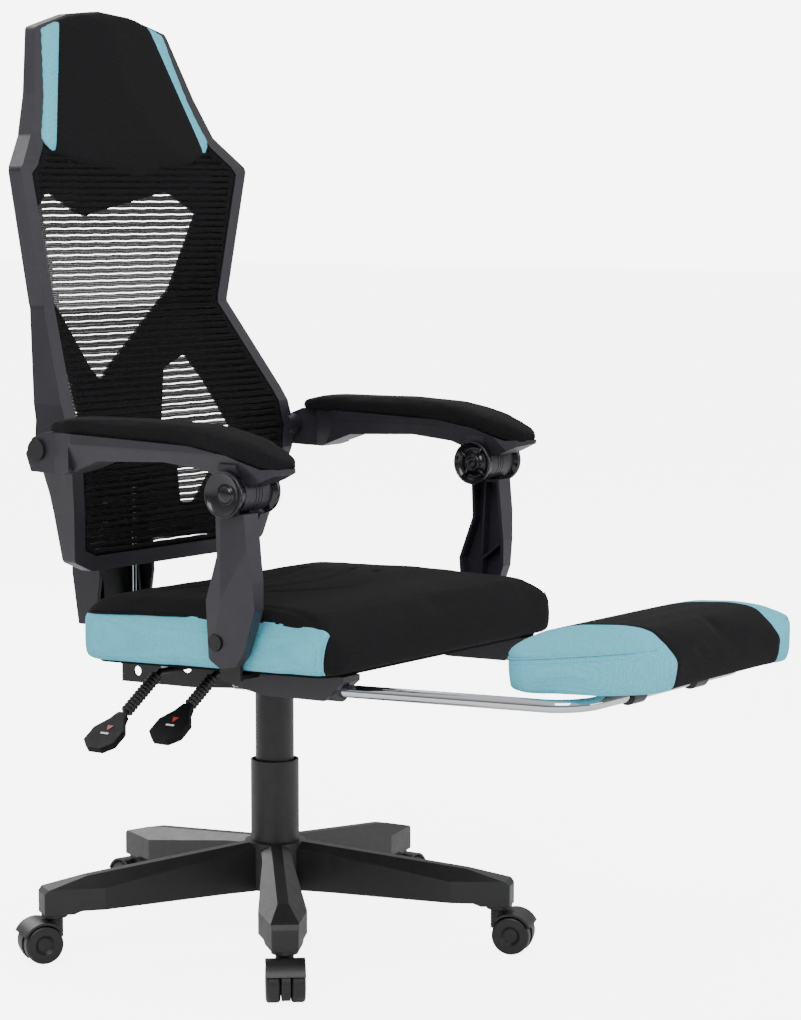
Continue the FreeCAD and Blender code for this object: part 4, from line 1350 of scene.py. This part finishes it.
@dataclass
class Studio:
    """Pale floor, soft lights and the camera."""

    target: tuple[float, float, float] = (0.0983, -0.1350, 0.5737)
    azimuth: float = -53.933
    elevation: float = 6.089
    distance: float = 3.91645
    focal_px: float = 2973.97
    height_px: float = 1020.0
    sensor: float = 36.0
    room_light: float = 0.9
    wall: str = "#7a7a7c"
    backdrop_light: float = 7.0
    floor_glow: float = 5.5

    def build(self) -> None:
        """Add the floor, the world, the lights and the camera."""
        self.floor()
        self.world()
        self.light("key", (-2.6, -1.6, 3.0), 2.2, 95.0)
        self.light("fill", (1.6, -3.4, 1.8), 2.6, 55.0)
        self.light("rim", (0.8, 3.2, 2.6), 2.4, 80.0)
        self.camera()

    def floor(self) -> None:
        """One large pale plane."""
        shape = bmesh.new()
        bmesh.ops.create_grid(shape, x_segments=1, y_segments=1, size=30.0)
        data = bpy.data.meshes.new("floor")
        shape.to_mesh(data)
        shape.free()
        floor = bpy.data.objects.new("floor", data)
        bpy.context.scene.collection.objects.link(floor)
        paint = bpy.data.materials.new("studio_floor")
        paint.use_nodes = True
        shader = paint.node_tree.nodes["Principled BSDF"]
        shader.inputs["Base Color"].default_value = linear("#fafafa")
        shader.inputs["Roughness"].default_value = 0.9
        shader.inputs["Specular IOR Level"].default_value = 0.0
        shader.inputs["Emission Color"].default_value = linear("#ffffff")
        tree = paint.node_tree
        seen = add_node(tree, "ShaderNodeLightPath").outputs["Is Camera Ray"]
        glow = add_node(tree, "ShaderNodeMath", {"operation": "MULTIPLY"}, {0: seen})
        glow.inputs[1].default_value = self.floor_glow
        tree.links.new(glow.outputs[0], shader.inputs["Emission Strength"])
        data.materials.append(paint)

    def world(self) -> None:
        """White light from above that fades towards the walls, in front of a bright backdrop."""
        world = bpy.data.worlds.new("studio")
        world.use_nodes = True
        tree = world.node_tree
        room = tree.nodes["Background"]
        way = add_node(tree, "ShaderNodeTexCoord").outputs["Generated"]
        height = add_node(tree, "ShaderNodeSeparateXYZ", links={0: way}).outputs["Z"]
        shade = add_node(tree, "ShaderNodeValToRGB", links={0: height})
        shade.color_ramp.elements[0].position = 0.02
        shade.color_ramp.elements[0].color = linear(self.wall)
        shade.color_ramp.elements[1].position = 0.55
        shade.color_ramp.elements[1].color = linear("#ffffff")
        tree.links.new(shade.outputs[0], room.inputs[0])
        room.inputs[1].default_value = self.room_light
        backdrop = add_node(tree, "ShaderNodeBackground", Color=linear("#ffffff"),
                            Strength=self.backdrop_light)
        seen = add_node(tree, "ShaderNodeLightPath").outputs["Is Camera Ray"]
        both = add_node(tree, "ShaderNodeMixShader",
                        links={0: seen, 1: room.outputs[0], 2: backdrop.outputs[0]})
        tree.links.new(both.outputs[0], tree.nodes["World Output"].inputs["Surface"])
        bpy.context.scene.world = world

    def light(self, name: str, place: tuple[float, float, float], size: float, power: float) -> None:
        """One square softbox that faces the chair.

        Args:
            name: The light's name.
            place: Its place.
            size: Its side.
            power: Its power in watts.
        """
        lamp = bpy.data.lights.new(name, "AREA")
        lamp.shape = "SQUARE"
        lamp.size = size
        lamp.energy = power
        softbox = bpy.data.objects.new(name, lamp)
        softbox.location = place
        softbox.rotation_euler = (Vector(self.target) - Vector(place)).to_track_quat("-Z", "Y").to_euler()
        bpy.context.scene.collection.objects.link(softbox)

    def camera(self) -> None:
        """Camera on a circle round the target, looking at it."""
        data = bpy.data.cameras.new("camera")
        data.sensor_width = self.sensor
        data.sensor_fit = "AUTO"
        data.lens = self.focal_px * self.sensor / self.height_px
        eye = bpy.data.objects.new("camera", data)
        turn = math.radians(self.azimuth)
        rise = math.radians(self.elevation)
        away = Vector((math.sin(turn) * math.cos(rise), -math.cos(turn) * math.cos(rise), math.sin(rise)))
        eye.location = Vector(self.target) + away * self.distance
        eye.rotation_euler = (-away).to_track_quat("-Z", "Y").to_euler()
        bpy.context.scene.collection.objects.link(eye)
        bpy.context.scene.camera = eye


SEAT_FOAM = Padding((0.0, 0.0, -1.0), calm=5, spare=((0.0, 0.0, -0.008), (0.0, 0.0, 0.0)))
HEAD_FOAM = Padding((0.0, 1.0, 0.0), voxel=4.0, shrink=1.5, cap=4.0, rounds=1,
                    spare=((-0.004, 0.0, 0.0), (0.004, 0.0, 0.002)))
FOOT_FOAM = Padding((0.0, 0.0, -1.0), voxel=5.0, cap=8.0)
SMALL_PAD = Padding((0.0, 0.0, -1.0), voxel=4.0, shrink=2.0, cap=4.0, rounds=3,
                    spare=((-0.001, -0.006, -0.002), (0.001, 0.002, 0.0)))


def main() -> None:
    """Build the chair's looks."""
    logging.basicConfig(level=logging.INFO)
    Studio().build()
    RoundedPart("star_base", NYLON).build()
    for node in ("back_frame", "back_shell", "spine_cover", "rail_brackets"):
        RoundedPart(node, FRAME).build()
    for side in SIDES:
        RoundedPart("arm_shell_" + side, FRAME).build()
        RoundedPart("arm_link_" + side, FRAME).build()
        ArmPad("arm_pad_" + side, "arm_rest_pad_" + side, "arm_" + side, SMALL_PAD).build()
        BarrelCaps(side).build()
        repaint(COAT, "barrel_pin_" + side)
    for number in range(1, 6):
        RoundedPart("caster_hood_%d" % number, NYLON, 0.8).build()
        repaint(NYLON, "caster_wheels_%d" % number)
        repaint(ZINC, "caster_stem_%d" % number)
    repaint(NYLON, "lift_cover_lower", "lift_cover_upper")
    repaint(COAT, "gas_cylinder", "mechanism_tray", "arm_brackets", "back_bracket",
            "footrest_hinge_plate", "lift_lever_rod", "recline_lever_rod", "link_bolts", "rear_bolts")
    repaint(ZINC, "gas_piston", "gas_release_pin", "recline_axle", "recline_spring", "seat_bolts",
            "back_bolts", "taper_socket")
    repaint(CHROME, "footrest_rails", "spine_rod")
    repaint(RUBBER, "lift_lever_bellows", "recline_lever_bellows")
    repaint(PADDLE, "lift_lever_paddle", "recline_lever_paddle")
    repaint(LINING_AND_SHADE_STRIP, "seat_board")
    Seat("seat_cushion", "seat_padding", Body.SEAT.value, SEAT_FOAM).build()
    Headrest("headrest_cushion", "headrest_padding", Body.BACK.value, HEAD_FOAM).build()
    FootPad("footrest_pad", "footrest_padding", Body.FOOTREST.value, FOOT_FOAM).build()
    BackNet().build()
    for lever in ("lift_lever", "recline_lever"):
        LeverMark(lever).build()


if __name__ == "__main__":
    main()
